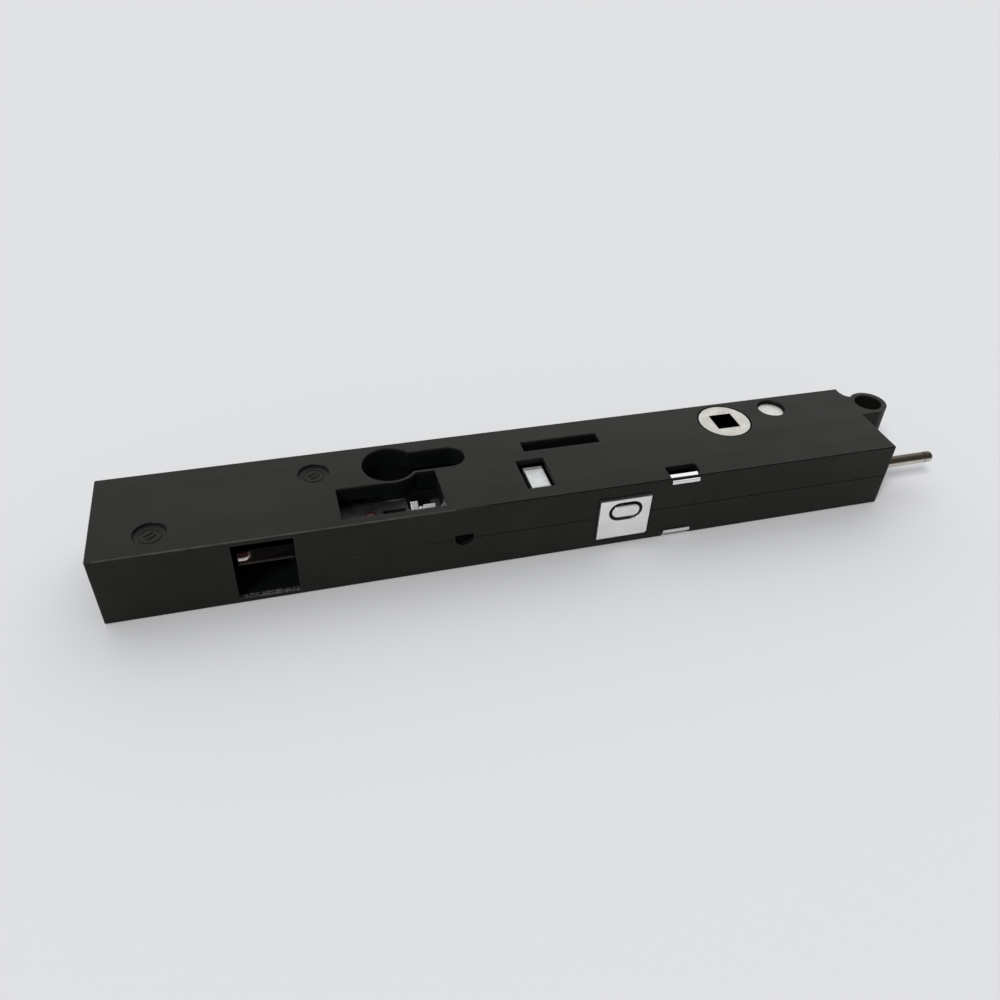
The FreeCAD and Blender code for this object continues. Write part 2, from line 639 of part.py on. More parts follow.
def pinion_tooth(centre_angle):
    """One tooth of the follower's sector, with involute flanks."""
    base = PITCH_RADIUS * math.cos(PRESSURE_ANGLE)
    root = PITCH_RADIUS - DEDENDUM - TOOTH_ROOT_OVERLAP
    tip = PITCH_RADIUS + ADDENDUM
    half_pitch_angle = (math.pi * TOOTH_MODULE / 2 - BACKLASH) / 2 / PITCH_RADIUS
    base_angle = half_pitch_angle + involute_angle(PITCH_RADIUS)
    flank = []
    for step in range(FLANK_STEPS + 1):
        radius = base + (tip - base) * step / FLANK_STEPS
        flank.append((radius, base_angle - involute_angle(radius)))

    def place(radius, angle):
        turned = centre_angle + angle
        return V(FOLLOWER_X + radius * math.cos(turned), radius * math.sin(turned), GEAR_LOW)

    right_side = [place(radius, -angle) for radius, angle in flank]
    left_side = [place(radius, angle) for radius, angle in reversed(flank)]
    root_right = place(root, -base_angle)
    root_left = place(root, base_angle)
    right_curve = Part.BSplineCurve()
    right_curve.interpolate(right_side)
    left_curve = Part.BSplineCurve()
    left_curve.interpolate(left_side)
    tip_arc = Part.Arc(right_side[-1], place(tip, 0), left_side[0])
    edges = [Part.makeLine(root_right, right_side[0]), right_curve.toShape(), tip_arc.toShape(),
             left_curve.toShape(), Part.makeLine(left_side[-1], root_left),
             Part.makeLine(root_left, root_right)]
    return Part.Face(Part.Wire(edges)).extrude(V(0, 0, GEAR_HIGH - GEAR_LOW))


def follower():
    """The spindle hub: two journals, a square hole through, and the toothed sector."""
    low = FACE_INSET
    high = CASE_THICKNESS - FACE_INSET
    hub = post(FOLLOWER_X, 0, FOLLOWER_RADIUS, low, high)
    root = PITCH_RADIUS - DEDENDUM
    rim = post(FOLLOWER_X, 0, root, GEAR_LOW, GEAR_HIGH)
    far = 2 * root
    open_side = prism([(FOLLOWER_X - far, far), (FOLLOWER_X + far, -far), (FOLLOWER_X + far, far)],
                      GEAR_LOW - 1, GEAR_HIGH + 1)
    rim = rim.cut(open_side)
    pitch_angle = 2 * math.pi / PINION_TEETH
    teeth = [pinion_tooth(-math.pi / 2 + number * pitch_angle) for number in SECTOR_TEETH]
    half = SPINDLE_SQUARE / 2
    square = box((FOLLOWER_X - half, FOLLOWER_X + half), (-half, half), (-1, CASE_THICKNESS + 1))
    return join([hub, rim] + teeth).cut(square)


def rack_tooth(centre_x):
    """One straight-flanked rack tooth pointing at the follower."""
    half = (math.pi * TOOTH_MODULE / 2 - BACKLASH) / 2
    slope = math.tan(PRESSURE_ANGLE)
    pitch_y = -PITCH_RADIUS
    tip_y = pitch_y + ADDENDUM
    root_y = pitch_y - DEDENDUM - TOOTH_ROOT_OVERLAP
    tip_half = half - ADDENDUM * slope
    root_half = half + (DEDENDUM + TOOTH_ROOT_OVERLAP) * slope
    outline = [(centre_x - root_half, root_y), (centre_x + root_half, root_y),
               (centre_x + tip_half, tip_y), (centre_x - tip_half, tip_y)]
    return prism(outline, GEAR_LOW, GEAR_HIGH)


def drive_slide():
    """The steel slide: a bar with the rack, a foot for the coupling block and a block for the rod."""
    pitch = math.pi * TOOTH_MODULE
    centres = [FOLLOWER_X + pitch / 2 + number * pitch for number in range(RACK_FIRST, RACK_LAST + 1)]
    right = centres[-1] + RACK_END_MARGIN
    bar = box((COUPLING_BLOCK[1] + 0.2, right), (BAR_FRONT, BAR_BACK), (GEAR_LOW, GEAR_HIGH))
    foot = box((BAR_LEFT, COUPLING_FOOT_RIGHT), COUPLING_FOOT_Y, (GEAR_LOW, COUPLING_FOOT_HIGH))
    block = box(ROD_BLOCK, (ROD_BLOCK_FRONT, BAR_BACK), (GEAR_LOW, GEAR_HIGH))
    shape = join([bar, foot, block] + [rack_tooth(x) for x in centres])
    tools = [Part.makeCylinder(ROD_RADIUS, ROD_BLOCK[1], V(ROD_START, ROD_Y, MIDDLE), ALONG)]
    x = (COUPLING_BLOCK[0] + COUPLING_BLOCK[1]) / 2
    for y in COUPLING_RIVET_Y:
        tools.append(post(x, y, SCREW_SHANK_RADIUS, 0, COUPLING_FOOT_HIGH + 1))
    return cut(shape, tools)


def coupling_block():
    """The zinc block that stands on the drive slide under its window, chamfered along its back."""
    left, right, front, back = COUPLING_BLOCK
    top = COUPLING_TOP
    block = box((left, right), (front, back), (COUPLING_FOOT_HIGH, top))
    edge = [e for e in block.Edges if e.BoundBox.YMin > back - 1e-6 and e.BoundBox.ZMin > top - 1e-6]
    block = block.makeChamfer(COUPLING_CHAMFER, edge)
    rims = [e for e in block.Edges if e.BoundBox.ZMin > top - 1e-6]
    block = block.makeChamfer(COUPLING_RIM, rims)
    x = (left + right) / 2
    tools = [post(x, y, SCREW_SHANK_RADIUS, COUPLING_FOOT_HIGH - 1, COUPLING_RIVET_TOP)
             for y in COUPLING_RIVET_Y]
    tools.append(box((left - 1, right + 1), COUPLING_GROOVE, (top - COUPLING_GROOVE_DEPTH, top + 1)))
    return cut(block, tools)


def coupling_rivets():
    """Two rivets that hold the coupling block on the slide's foot."""
    x = (COUPLING_BLOCK[0] + COUPLING_BLOCK[1]) / 2
    return [post(x, y, SCREW_SHANK_RADIUS, GEAR_LOW, COUPLING_RIVET_TOP) for y in COUPLING_RIVET_Y]


def connecting_rod():
    """The round rod from the slide's block out through the right end, with a rounded, grooved tip."""
    rod = Part.makeCylinder(ROD_RADIUS, ROD_END - ROD_START, V(ROD_START, ROD_Y, MIDDLE), ALONG)
    tip = [e for e in rod.Edges if e.BoundBox.XMin > ROD_END - 1e-3]
    rod = rod.makeFillet(ROD_TIP_ROUND, tip)
    groove_start = V(ROD_END - ROD_GROOVE_FROM_END, ROD_Y, MIDDLE)
    groove = Part.makeCylinder(ROD_RADIUS + 1, ROD_GROOVE_WIDTH, groove_start, ALONG)
    core = Part.makeCylinder(ROD_RADIUS - ROD_GROOVE_DEPTH, ROD_GROOVE_WIDTH, groove_start, ALONG)
    return rod.cut(groove.cut(core))


def rod_lock_nut():
    """The hexagon nut against the slide's block, with its flats towards the front wall."""
    start = ROD_BLOCK[1]
    corner = NUT_WIDTH / 2 / math.cos(math.pi / 6)
    corners = []
    for number in range(6):
        angle = math.pi / 2 + number * math.pi / 3
        corners.append(V(start, ROD_Y + corner * math.cos(angle), MIDDLE + corner * math.sin(angle)))
    body = Part.Face(Part.makePolygon(corners + corners[:1])).extrude(V(NUT_LENGTH, 0, 0))
    hole = Part.makeCylinder(ROD_RADIUS, NUT_LENGTH + 2, V(start - 1, ROD_Y, MIDDLE), ALONG)
    return body.cut(hole)


# Hook bolt and lock slide -------------------------------------------------------------------------

def guide_path_point(share):
    """Place of the fixed guide pin seen from the hook bolt, at a share of the swing, about the pivot."""
    swing = share * math.pi / 2
    along = GUIDE_PIN_OFFSET[0] + LOCK_TRAVEL * share
    across = GUIDE_PIN_OFFSET[1]
    x = along * math.cos(swing) + across * math.sin(swing)
    y = -along * math.sin(swing) + across * math.cos(swing)
    return x, y


def guide_slot(half_width, low, high):
    """A slot of even width along the guide pin's path in the hook bolt, round at both ends."""
    nudge = 1e-4
    left_side = []
    right_side = []
    for step in range(GUIDE_SLOT_STEPS + 1):
        share = step / GUIDE_SLOT_STEPS
        x, y = guide_path_point(share)
        x_before, y_before = guide_path_point(share - nudge)
        x_after, y_after = guide_path_point(share + nudge)
        length = math.hypot(x_after - x_before, y_after - y_before)
        across_x = -(y_after - y_before) / length
        across_y = (x_after - x_before) / length
        world_x = HOOK_PIVOT_X + x
        world_y = HOOK_PIVOT_Y + y
        left_side.append(V(world_x + half_width * across_x, world_y + half_width * across_y, low))
        right_side.append(V(world_x - half_width * across_x, world_y - half_width * across_y, low))
    left_curve = Part.BSplineCurve()
    left_curve.interpolate(left_side)
    right_curve = Part.BSplineCurve()
    right_curve.interpolate(right_side)
    edges = [left_curve.toShape(), Part.makeLine(left_side[-1], right_side[-1]), right_curve.toShape(),
             Part.makeLine(right_side[0], left_side[0])]
    band = Part.Face(Part.Wire(Part.__sortEdges__(edges))).extrude(V(0, 0, high - low))
    ends = []
    for share in (0.0, 1.0):
        x, y = guide_path_point(share)
        ends.append(post(HOOK_PIVOT_X + x, HOOK_PIVOT_Y + y, half_width, low, high))
    return join([band] + ends)


def hook_bolt():
    """The hook bolt: an arm with a beak, a hub, and a tail with the cam slot for the guide pin."""
    low = HOOK_LOW
    high = HOOK_HIGH
    x = HOOK_PIVOT_X
    y = HOOK_PIVOT_Y
    sides = (y - HOOK_HALF_WIDTH, y + HOOK_HALF_WIDTH)
    arm = box((x - HOOK_REACH, x), sides, (low, high))
    keel = box((x - HOOK_REACH, x - HOOK_ARM_LOW_END), sides, (HOOK_ARM_LOW, low))
    beak_x = (x - HOOK_REACH, x - HOOK_REACH + HOOK_BEAK_LENGTH)
    beak = box(beak_x, (y - HOOK_BEAK_DEPTH, sides[1]), HOOK_LIP_LEVELS)
    swing = post(x, y, HOOK_REACH, HOOK_ARM_LOW - 1, high + 1)
    slope_x = x - HOOK_REACH + HOOK_BACK_SLOPE[0]
    slope_y = sides[1] - HOOK_BACK_SLOPE[1]
    beyond_x = x - HOOK_REACH - 1
    beyond_y = sides[1] + TINY
    trim = prism([(beyond_x, slope_y), (slope_x, beyond_y), (beyond_x, beyond_y)], HOOK_ARM_LOW - 1, high + 1)
    nose = join([arm, keel, beak]).common(swing).cut(trim)
    upright = [e for e in nose.Edges if e.BoundBox.ZLength > 0.5 and e.BoundBox.YMax < sides[0] - 0.5]
    inner = [e for e in upright if e.BoundBox.XMax > beak_x[1] - 0.1]
    nose = nose.makeFillet(HOOK_LIP_ROUND, inner)
    hub = post(x, y, HOOK_HUB_RADIUS, low, high)
    tail = guide_slot(GUIDE_SLOT_HALF + GUIDE_SLOT_WALL, low, high)
    shape = join([nose, hub, tail])
    tools = [post(x, y, HOOK_BUSH_RADIUS, low - 1, high + 1), guide_slot(GUIDE_SLOT_HALF, low - 1, high + 1)]
    return cut(shape, tools)


def hook_bush():
    """The plain bush in the hook bolt."""
    bush = post(HOOK_PIVOT_X, HOOK_PIVOT_Y, HOOK_BUSH_RADIUS, HOOK_LOW, HOOK_HIGH)
    bore = post(HOOK_PIVOT_X, HOOK_PIVOT_Y, HOOK_PIN_RADIUS + HOOK_PIN_CLEARANCE, HOOK_LOW - 1, HOOK_HIGH + 1)
    return bush.cut(bore)


def hook_pivot_pin():
    """The pivot pin, riveted in the lock slide."""
    return post(HOOK_PIVOT_X, HOOK_PIVOT_Y, HOOK_PIN_RADIUS, SLIDE_LOW, HOOK_HIGH + HOOK_PIN_RISE)


def hook_retaining_washer():
    """The washer that keeps the hook bolt on its pivot."""
    low = HOOK_HIGH + WASHER_GAP
    washer = post(HOOK_PIVOT_X, HOOK_PIVOT_Y, WASHER_RADIUS, low, low + WASHER_THICKNESS)
    return washer.cut(post(HOOK_PIVOT_X, HOOK_PIVOT_Y, HOOK_PIN_RADIUS, low - 1, low + 2))


def hook_guide_pin():
    """The fixed pin in the hook bolt's cam slot."""
    return post(*guide_pin_place(), GUIDE_PIN_RADIUS, WALL / 2, CASE_THICKNESS - WALL / 2)


def lock_slide():
    """The flat slide between the cylinder's cam and the hook bolt."""
    x = HOOK_PIVOT_X
    y = HOOK_PIVOT_Y
    bar = box((x + SLIDE_BAR_START, SLIDE_RIGHT), (SLIDE_FRONT, SLIDE_BACK), (SLIDE_LOW, SLIDE_HIGH))
    lug = post(x, y, SLIDE_LUG_RADIUS, SLIDE_LOW, SLIDE_HIGH)
    neck_y = (y - SLIDE_LUG_RADIUS, SLIDE_BACK - 0.1)
    neck = box((x, x + SLIDE_BAR_START + 1), neck_y, (SLIDE_LOW, SLIDE_HIGH))
    tools = [post(x, y, HOOK_PIN_RADIUS, SLIDE_LOW - 1, SLIDE_HIGH + 1)]
    tools += [post(px, py, CAM_RIVET_RADIUS, SLIDE_LOW - 1, SLIDE_HIGH + 1) for px, py in CAM_RIVET_PLACES]
    for notch_x in (DETENT_X, DETENT_X + LOCK_TRAVEL):
        tools.append(post(notch_x, SLIDE_FRONT, DETENT_NOTCH_RADIUS, SLIDE_LOW - 1, SLIDE_HIGH + 1))
    return cut(join([bar, lug, neck]), tools)


def cam_block():
    """The block on the lock slide that the cylinder's cam pushes: stepped, notched, with a thin top plate."""
    high = CAM_BLOCK_HIGH
    step_high = high - CAM_STEP_HEIGHT
    block = box((CAM_BLOCK_LEFT, SLIDE_RIGHT), (CAM_BLOCK_FRONT, CAM_BLOCK_BACK), (SLIDE_HIGH, high))
    plate_levels = (high - CAM_PLATE_GAUGE, high)
    plate = box((CAM_PLATE_LEFT, NOTCH_X[0]), (CAM_BLOCK_FRONT, CAM_PLATE_BACK), plate_levels)
    corner = box((CAM_PLATE_LEFT, CAM_BLOCK_LEFT), (CAM_BLOCK_FRONT, CAM_PLATE_CORNER_BACK), plate_levels)
    step = box((CAM_STEP_LEFT, SLIDE_RIGHT + 1), (CAM_BLOCK_FRONT - 1, CAM_STEP_BACK), (step_high, high + 1))
    notch = box(NOTCH_X, (CAM_BLOCK_BACK - NOTCH_DEPTH, CAM_BLOCK_BACK + 1), (SLIDE_HIGH - 1, high + 1))
    slot = box(CAM_SLOT[:2], CAM_SLOT[2:], (high - CAM_SLOT_DEPTH, high + 1))
    holes = [post(x, y, CAM_RIVET_RADIUS, SLIDE_HIGH - 1, high + 1) for x, y in CAM_RIVET_PLACES]
    return cut(join([block, plate, corner]), [step, notch, slot] + holes)


def cam_block_rivets():
    """Two rivets through the cam block and the lock slide, with low domed heads."""
    rivets = []
    head_levels = [CAM_BLOCK_HIGH, CAM_BLOCK_HIGH - CAM_STEP_HEIGHT]
    for (x, y), level in zip(CAM_RIVET_PLACES, head_levels):
        shank = post(x, y, CAM_RIVET_RADIUS, SLIDE_LOW, level)
        ball = Part.makeSphere(RIVET_DOME_RADIUS, V(x, y, level - RIVET_DOME_DROP))
        dome = ball.common(post(x, y, RIVET_DOME_EDGE, level, level + 2))
        rivets.append(join([shank, dome]))
    return rivets


def cam_spring():
    """The bright leaf spring on the cam block: a strip with raised, leaning tabs that meet the cam."""
    base = CAM_BLOCK_HIGH
    strip = box(CAM_SPRING_X, (CAM_STEP_BACK, CAM_STEP_BACK + CAM_SPRING_WIDTH), (base, base + SPRING_GAUGE))
    parts = [strip]
    for left, right, rise in CAM_SPRING_TABS:
        front = CAM_STEP_BACK + CAM_SPRING_WIDTH - SPRING_GAUGE
        outline = [(front, base), (front + rise, base + rise), (front + rise, base + rise + TAB_GAUGE),
                   (front, base + TAB_GAUGE)]
        parts.append(prism_x(outline, left, right))
    return join(parts)


# Fixed small parts --------------------------------------------------------------------------------

def guide_plate():
    """The plated plate on the front edge, with its collar round the trigger button."""
    plate = box(PLATE_X, (PLATE_FACE, FRONT), PLATE_Z)
    across = [e for e in plate.Edges if e.BoundBox.YLength > 1 and e.BoundBox.XMin > PLATE_X[0] + 1]
    corner = [e for e in across if e.BoundBox.ZMax < PLATE_Z[0] + 1]
    plate = plate.makeFillet(PLATE_CORNER, corner)
    front_rim = [e for e in plate.Edges if e.BoundBox.YMax < PLATE_FACE + 1e-6]
    plate = plate.makeChamfer(PLATE_CHAMFER, front_rim)
    length = RING_LENGTH + 2 * GUIDE_COLLAR_WALL
    height = RING_HEIGHT + 2 * GUIDE_COLLAR_WALL
    collar = obround(BUTTON_X, BUTTON_Z, length, height, FRONT, GUIDE_COLLAR_BACK)
    ring = obround(BUTTON_X, BUTTON_Z, RING_LENGTH, RING_HEIGHT, PLATE_FACE - 1, GUIDE_COLLAR_BACK + 1)
    return join([plate, collar]).cut(ring)


def button_bush():
    """The moulded bush in the guide plate's collar that guides the trigger button."""
    bush = obround(BUTTON_X, BUTTON_Z, RING_LENGTH, RING_HEIGHT, PLATE_FACE + BUSH_SINK, GUIDE_COLLAR_BACK)
    bore = obround(BUTTON_X, BUTTON_Z, BUTTON_LENGTH + 2 * BUTTON_GUIDE_GAP,
                   BUTTON_HEIGHT + 2 * BUTTON_GUIDE_GAP, PLATE_FACE, GUIDE_COLLAR_BACK + 1)
    return bush.cut(bore)


def trigger_button():
    """The oblong button with its stop flange."""
    face = PLATE_FACE - BUTTON_PROUD
    flange_front = GUIDE_COLLAR_BACK + RUNNING_GAP
    stem = obround(BUTTON_X, BUTTON_Z, BUTTON_LENGTH, BUTTON_HEIGHT, face, flange_front + 0.5)
    rim = [e for e in stem.Edges if e.BoundBox.YMax < face + 1e-6]
    stem = stem.makeChamfer(BUTTON_CHAMFER, rim)
    flange = obround(BUTTON_X, BUTTON_Z, BUTTON_LENGTH + 2 * FLANGE_MARGIN, BUTTON_HEIGHT + 2 * FLANGE_MARGIN,
                     flange_front, flange_front + FLANGE_THICKNESS)
    return join([stem, flange])


def trigger_spring():
    """The coil spring behind the button, as a helix of round wire."""
    end_room = TRIGGER_WIRE_RADIUS + TRIGGER_SPRING_GAP
    start = GUIDE_COLLAR_BACK + RUNNING_GAP + FLANGE_THICKNESS + end_room
    length = SPRING_WALL_FRONT - start - end_room
    helix = Part.makeHelix(length / TRIGGER_TURNS, length, TRIGGER_COIL_RADIUS)
    section = Part.Wire(Part.makeCircle(TRIGGER_WIRE_RADIUS, V(TRIGGER_COIL_RADIUS, 0, 0), V(0, 1, 0)))
    coil = Part.Wire(helix.Edges).makePipeShell([section], True, True)
    coil.rotate(V(0, 0, 0), ALONG, -90)
    coil.translate(V(BUTTON_X, start, BUTTON_Z))
    return coil


def shell_clip():
    """The spring-steel clip over the front wall: a leg, and a sloping arm with a lip at each end."""
    left, right = CLIP_X
    half = CLIP_GAUGE / 2
    line = clip_line(True) + clip_line(False)[::-1]
    parts = []
    for start, end in zip(line[:-1], line[1:]):
        length = math.hypot(end[0] - start[0], end[1] - start[1])
        aside_y = -half * (end[1] - start[1]) / length
        aside_z = half * (end[0] - start[0]) / length
        corners = [(start[0] + aside_y, start[1] + aside_z), (end[0] + aside_y, end[1] + aside_z),
                   (end[0] - aside_y, end[1] - aside_z), (start[0] - aside_y, start[1] - aside_z)]
        parts.append(prism_x(corners, left, right))
    for point in line:
        parts.append(Part.makeCylinder(half, right - left, V(left, *point), ALONG))
    return join(parts)


def case_rivet():
    """The rivet through both shells beside the follower, its heads sunk in round recesses."""
    top_floor = CASE_THICKNESS - RIVET_RECESS_DEPTH - RIVET_HEAD_HEIGHT
    bottom_floor = RIVET_RECESS_DEPTH + RIVET_HEAD_HEIGHT
    shank = post(RIVET_X, RIVET_Y, RIVET_SHANK_RADIUS, bottom_floor, top_floor)
    top = post(RIVET_X, RIVET_Y, RIVET_HEAD_RADIUS, top_floor, top_floor + RIVET_HEAD_HEIGHT)
    bottom = post(RIVET_X, RIVET_Y, RIVET_HEAD_RADIUS, bottom_floor - RIVET_HEAD_HEIGHT, bottom_floor)
    heads = []
    for head in (top, bottom):
        rims = [e for e in head.Edges if e.BoundBox.ZLength < 1e-6]
        heads.append(head.makeChamfer(RIVET_CHAMFER, rims))
    return join([shank] + heads)


def case_screws():
    """Three pan-head screws from the underside, each with a cross recess."""
    screws = []
    for x, y in SCREW_PLACES:
        head_low = SCREW_SINK - SCREW_HEAD_HEIGHT
        head = post(x, y, SCREW_HEAD_RADIUS, head_low, SCREW_SINK)
        rim = [e for e in head.Edges if e.BoundBox.ZMax < head_low + 1e-6]
        head = head.makeFillet(SCREW_HEAD_ROUND, rim)
        screw = join([head, post(x, y, SCREW_SHANK_RADIUS, SCREW_SINK - 0.5, SCREW_TIP)])
        slot_levels = (head_low - 1, head_low + CROSS_DEPTH)
        for half_x, half_y in (CROSS_SIZE, CROSS_SIZE[::-1]):
            slot = box((x - half_x, x + half_x), (y - half_y, y + half_y), slot_levels)
            screw = screw.cut(slot)
        screws.append(screw)
    return screws


def locating_dowels():
    """Two dowels across the parting line."""
    reach = DOWEL_REACH
    return [post(x, y, DOWEL_RADIUS, MIDDLE - reach, MIDDLE + reach) for x, y in DOWEL_PLACES]


def lock_detent_spring():
    """The leaf spring behind the front wall that holds the lock slide at either end of its travel."""
    back = SLIDE_FRONT - LEAF_GAP
    levels = (SLIDE_LOW + LEAF_GAP, SLIDE_LOW + LEAF_GAP + LEAF_HEIGHT)
    leaf = box((DETENT_X - LEAF_LENGTH / 2, DETENT_X + LEAF_LENGTH / 2), (back - LEAF_GAUGE, back), levels)
    bump = post(DETENT_X, SLIDE_FRONT, LEAF_BUMP_RADIUS, *levels)
    bump_room = box((DETENT_X - 2, DETENT_X + 2), (back - LEAF_GAUGE, SLIDE_FRONT + 2), levels)
    return join([leaf, bump.common(bump_room)])


def drive_detent_spring():
    """The bent leaf spring that presses on top of the drive slide's bar."""
    sides = (BAR_FRONT + DRIVE_LEAF_MARGIN, BAR_BACK - DRIVE_LEAF_MARGIN)
    toe_left, toe_right, foot_left, foot_right = DRIVE_LEAF_X
    gauge = DRIVE_LEAF_GAUGE
    low = GEAR_HIGH + LEAF_GAP
    foot = box((foot_left, foot_right), sides, (CEILING - gauge, CEILING))
    slope = prism_y([(foot_left, CEILING - gauge), (foot_left, CEILING), (toe_right, low + gauge),
                     (toe_right, low)], *sides)
    toe = box((toe_left, toe_right), sides, (low, low + gauge))
    return join([foot, slope, toe])


def prism_y(points, front, back):
    """A prism along Y on a closed polygon of X, Z points."""
    corners = [V(x, front, z) for x, z in points]
    return Part.Face(Part.makePolygon(corners + corners[:1])).extrude(V(0, back - front, 0))


NODES = [lower_shell, upper_shell, follower, case_rivet, coupling_block, guide_plate, button_bush,
         trigger_button,
         shell_clip, connecting_rod, hook_bolt, cam_block, cam_block_rivets, cam_spring, lock_slide,
         hook_pivot_pin, hook_bush, hook_retaining_washer, hook_guide_pin, drive_slide, coupling_rivets,
         rod_lock_nut, trigger_spring, drive_detent_spring, lock_detent_spring, case_screws,
         locating_dowels]


def main():
    """Build every node and write it to its own file."""
    os.makedirs("parts", exist_ok=True)
    for make in NODES:
        made = make()
        shape = Part.makeCompound(made) if isinstance(made, list) else made
        if shape.ShapeType == "Compound" and len(shape.Solids) == 1:
            shape = shape.Solids[0]
        name = make.__name__
        print(name, "solids", len(shape.Solids), "valid", shape.isValid(), "volume", round(shape.Volume, 1))
        shape.exportStep("parts/" + name + ".step")


main()
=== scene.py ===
import json
import math

import bmesh
import bpy
from mathutils import Matrix, Vector


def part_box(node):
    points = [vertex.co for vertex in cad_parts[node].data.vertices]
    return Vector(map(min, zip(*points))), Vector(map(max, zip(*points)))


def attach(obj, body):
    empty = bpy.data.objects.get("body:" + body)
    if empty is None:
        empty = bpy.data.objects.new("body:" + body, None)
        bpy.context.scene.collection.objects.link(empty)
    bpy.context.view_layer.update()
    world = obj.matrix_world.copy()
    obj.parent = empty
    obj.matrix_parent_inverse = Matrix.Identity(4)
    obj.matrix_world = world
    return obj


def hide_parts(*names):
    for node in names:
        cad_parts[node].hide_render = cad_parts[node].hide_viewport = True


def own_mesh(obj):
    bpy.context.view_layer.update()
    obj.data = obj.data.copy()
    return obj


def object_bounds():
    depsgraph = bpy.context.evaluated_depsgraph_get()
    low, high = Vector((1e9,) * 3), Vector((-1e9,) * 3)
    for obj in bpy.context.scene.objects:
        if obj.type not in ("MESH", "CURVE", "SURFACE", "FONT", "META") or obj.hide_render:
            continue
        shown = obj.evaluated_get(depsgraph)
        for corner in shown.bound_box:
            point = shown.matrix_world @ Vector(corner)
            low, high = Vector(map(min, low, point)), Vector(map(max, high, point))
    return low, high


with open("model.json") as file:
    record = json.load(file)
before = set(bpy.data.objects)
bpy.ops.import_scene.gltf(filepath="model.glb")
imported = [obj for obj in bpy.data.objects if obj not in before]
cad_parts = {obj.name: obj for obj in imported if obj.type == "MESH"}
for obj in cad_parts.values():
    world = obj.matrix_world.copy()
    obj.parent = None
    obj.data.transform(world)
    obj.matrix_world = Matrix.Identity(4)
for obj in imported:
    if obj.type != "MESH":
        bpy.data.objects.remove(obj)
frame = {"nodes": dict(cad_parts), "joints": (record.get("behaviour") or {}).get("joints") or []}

MM = 0.001
CAD_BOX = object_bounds()

# Camera: place and axes in the row frame, the lens and sensor in millimetres, and how near and far it sees
CAMERA_PLACE_MM = (-31.07, -226.08, 194.24)
CAMERA_RIGHT = (0.96399, -0.26325, 0.03785)
CAMERA_DOWN = (-0.13754, -0.61524, -0.77625)
CAMERA_FORWARD = (0.22763, 0.74309, -0.62929)
CAMERA_LENS = 31.353
CAMERA_SENSOR = 36.0
CAMERA_NEAR = 0.01
CAMERA_FAR = 50.0

# Stage: an even sky with one broad bright side behind the object, a pale horizon, a soft sun from the front
# left, and a floor just under the object. The bright side fades out between two cosines.
SKY_COLOUR = (0.985, 0.99, 1.0)
SKY_LOW = 0.34
SKY_HIGH = 1.25
SKY_BRIGHT_SIDE = (0.12, 0.77, 0.61)
SKY_FADE = (0.35, 0.98)
HORIZON_TOP = 0.30
HORIZON_STRENGTH = 0.72
SUN_DIRECTION = (-0.52, -0.45, 0.73)
SUN_ANGLE = math.radians(14)
SUN_STRENGTH = 1.35
FLOOR_REACH = 12.0
FLOOR_GAP_MM = 0.05
FLOOR_COLOUR = (0.785, 0.79, 0.80)

# Raised marks in the round recesses of the top face: the recesses, then each mark's ring and bars. A rib is
# given by half its width and its height; its foot is sunk a little, and it narrows from shoulder to crown.
RECESSES_MM = ((-72.9, -18.3), (-24.1, 0.2))
RECESS_DEPTH_MM = 0.9
MARK_STEPS = 48
MARK_RADIUS_MM = 3.1
MARK_REACH_MM = 1.5
MARK_TURN_DEG = 35
MARK_BAR_SPREAD = 0.55
RING_RIB_MM = (0.28, 0.20)
BAR_RIB_MM = (0.30, 0.28)
RIB_SINK_MM = 0.05
RIB_SHOULDER = 0.55
RIB_CROWN = 0.6

# Outline of the case, and how far in from it the inner walls in painted shade start. Each length with SOFT in
# its name is the width of a border between two looks.
CASE_RIGHT_MM = 172.0
CASE_FRONT_MM = -27.5
INNER_MARGIN_MM = 0.7
INNER_TOP_MM = 1.25
INNER_SOFT_MM = 0.3
# Painted highlight on the sill of the bolt window: its heights, its ends and how deep it is
SILL_MM = (1.7, 2.15)
SILL_X_MM = (-50.9, -33.3)
SILL_DEEP_MM = 1.3
SILL_SOFT_MM = 0.2
# Front top edge: the stretch with a painted highlight, the stretch with painted shade, and how wide both lines
# are
HIGHLIGHT_X_MM = (-88.0, 16.0)
SHADED_EDGE_X_MM = (26.0, 171.0)
EDGE_LINE_MM = 0.36
LINE_SOFT_MM = 0.1
# Painted shade round the guide plate, and in the parting line, where it fades out towards the left
PLATE_SHADE_MM = 0.42
PARTING_SHADE_MM = 0.14
PARTING_SOFT_MM = 0.06
PARTING_FADE_MM = 40
# Round wells whose upright walls get painted shade: X, Y, radius and depth from the top face
SHADED_WELLS_MM = ((120.0, 0.0, 9.68, 2.1), (141.0, 4.3, 4.96, 1.4),
                   (*RECESSES_MM[0], 4.96, 0.8), (*RECESSES_MM[1], 4.96, 0.8))
WELL_WALL_MM = 0.35
WELL_RIM_MM = 0.1
WELL_SOFT_MM = (0.03, 0.05)
# Follower hub: half its square hole, and the radius, lowest height and gap below the face of its side in
# painted shade
SQUARE_HALF_MM = 4.15
HUB_SIDE_MM = (8.95, 20.0, 0.12)
HUB_SOFT_MM = (0.04, 0.08)
# Hook bolt: left end of its nose, front of its lip, right end of its lip; back and top of its red part;
# height of the painted highlight along its low edge; depths of the painted highlight on the lip and on the
# side; how far the borders wander
HOOK_NOSE_MM = (-50.3, -23.3, -46.2)
HOOK_RED_MM = (-20.9, 14.4)
HOOK_FOOT_MM = 0.8
HOOK_LIP_MM = (0.4, 2.6)
HOOK_SIDE_MM = (0.5, 0.3)
HOOK_WANDER_MM = 0.5
HOOK_SOFT_MM = (0.1, 0.2, 0.3)
# Clip: where the painted dark reflection band lies across its fold, behind its front
CLIP_SHADE_MM = (0.5, 1.6)
# Rod: how far down the painted dark reflection on its top reaches
ROD_SHADE_MM = 1.2

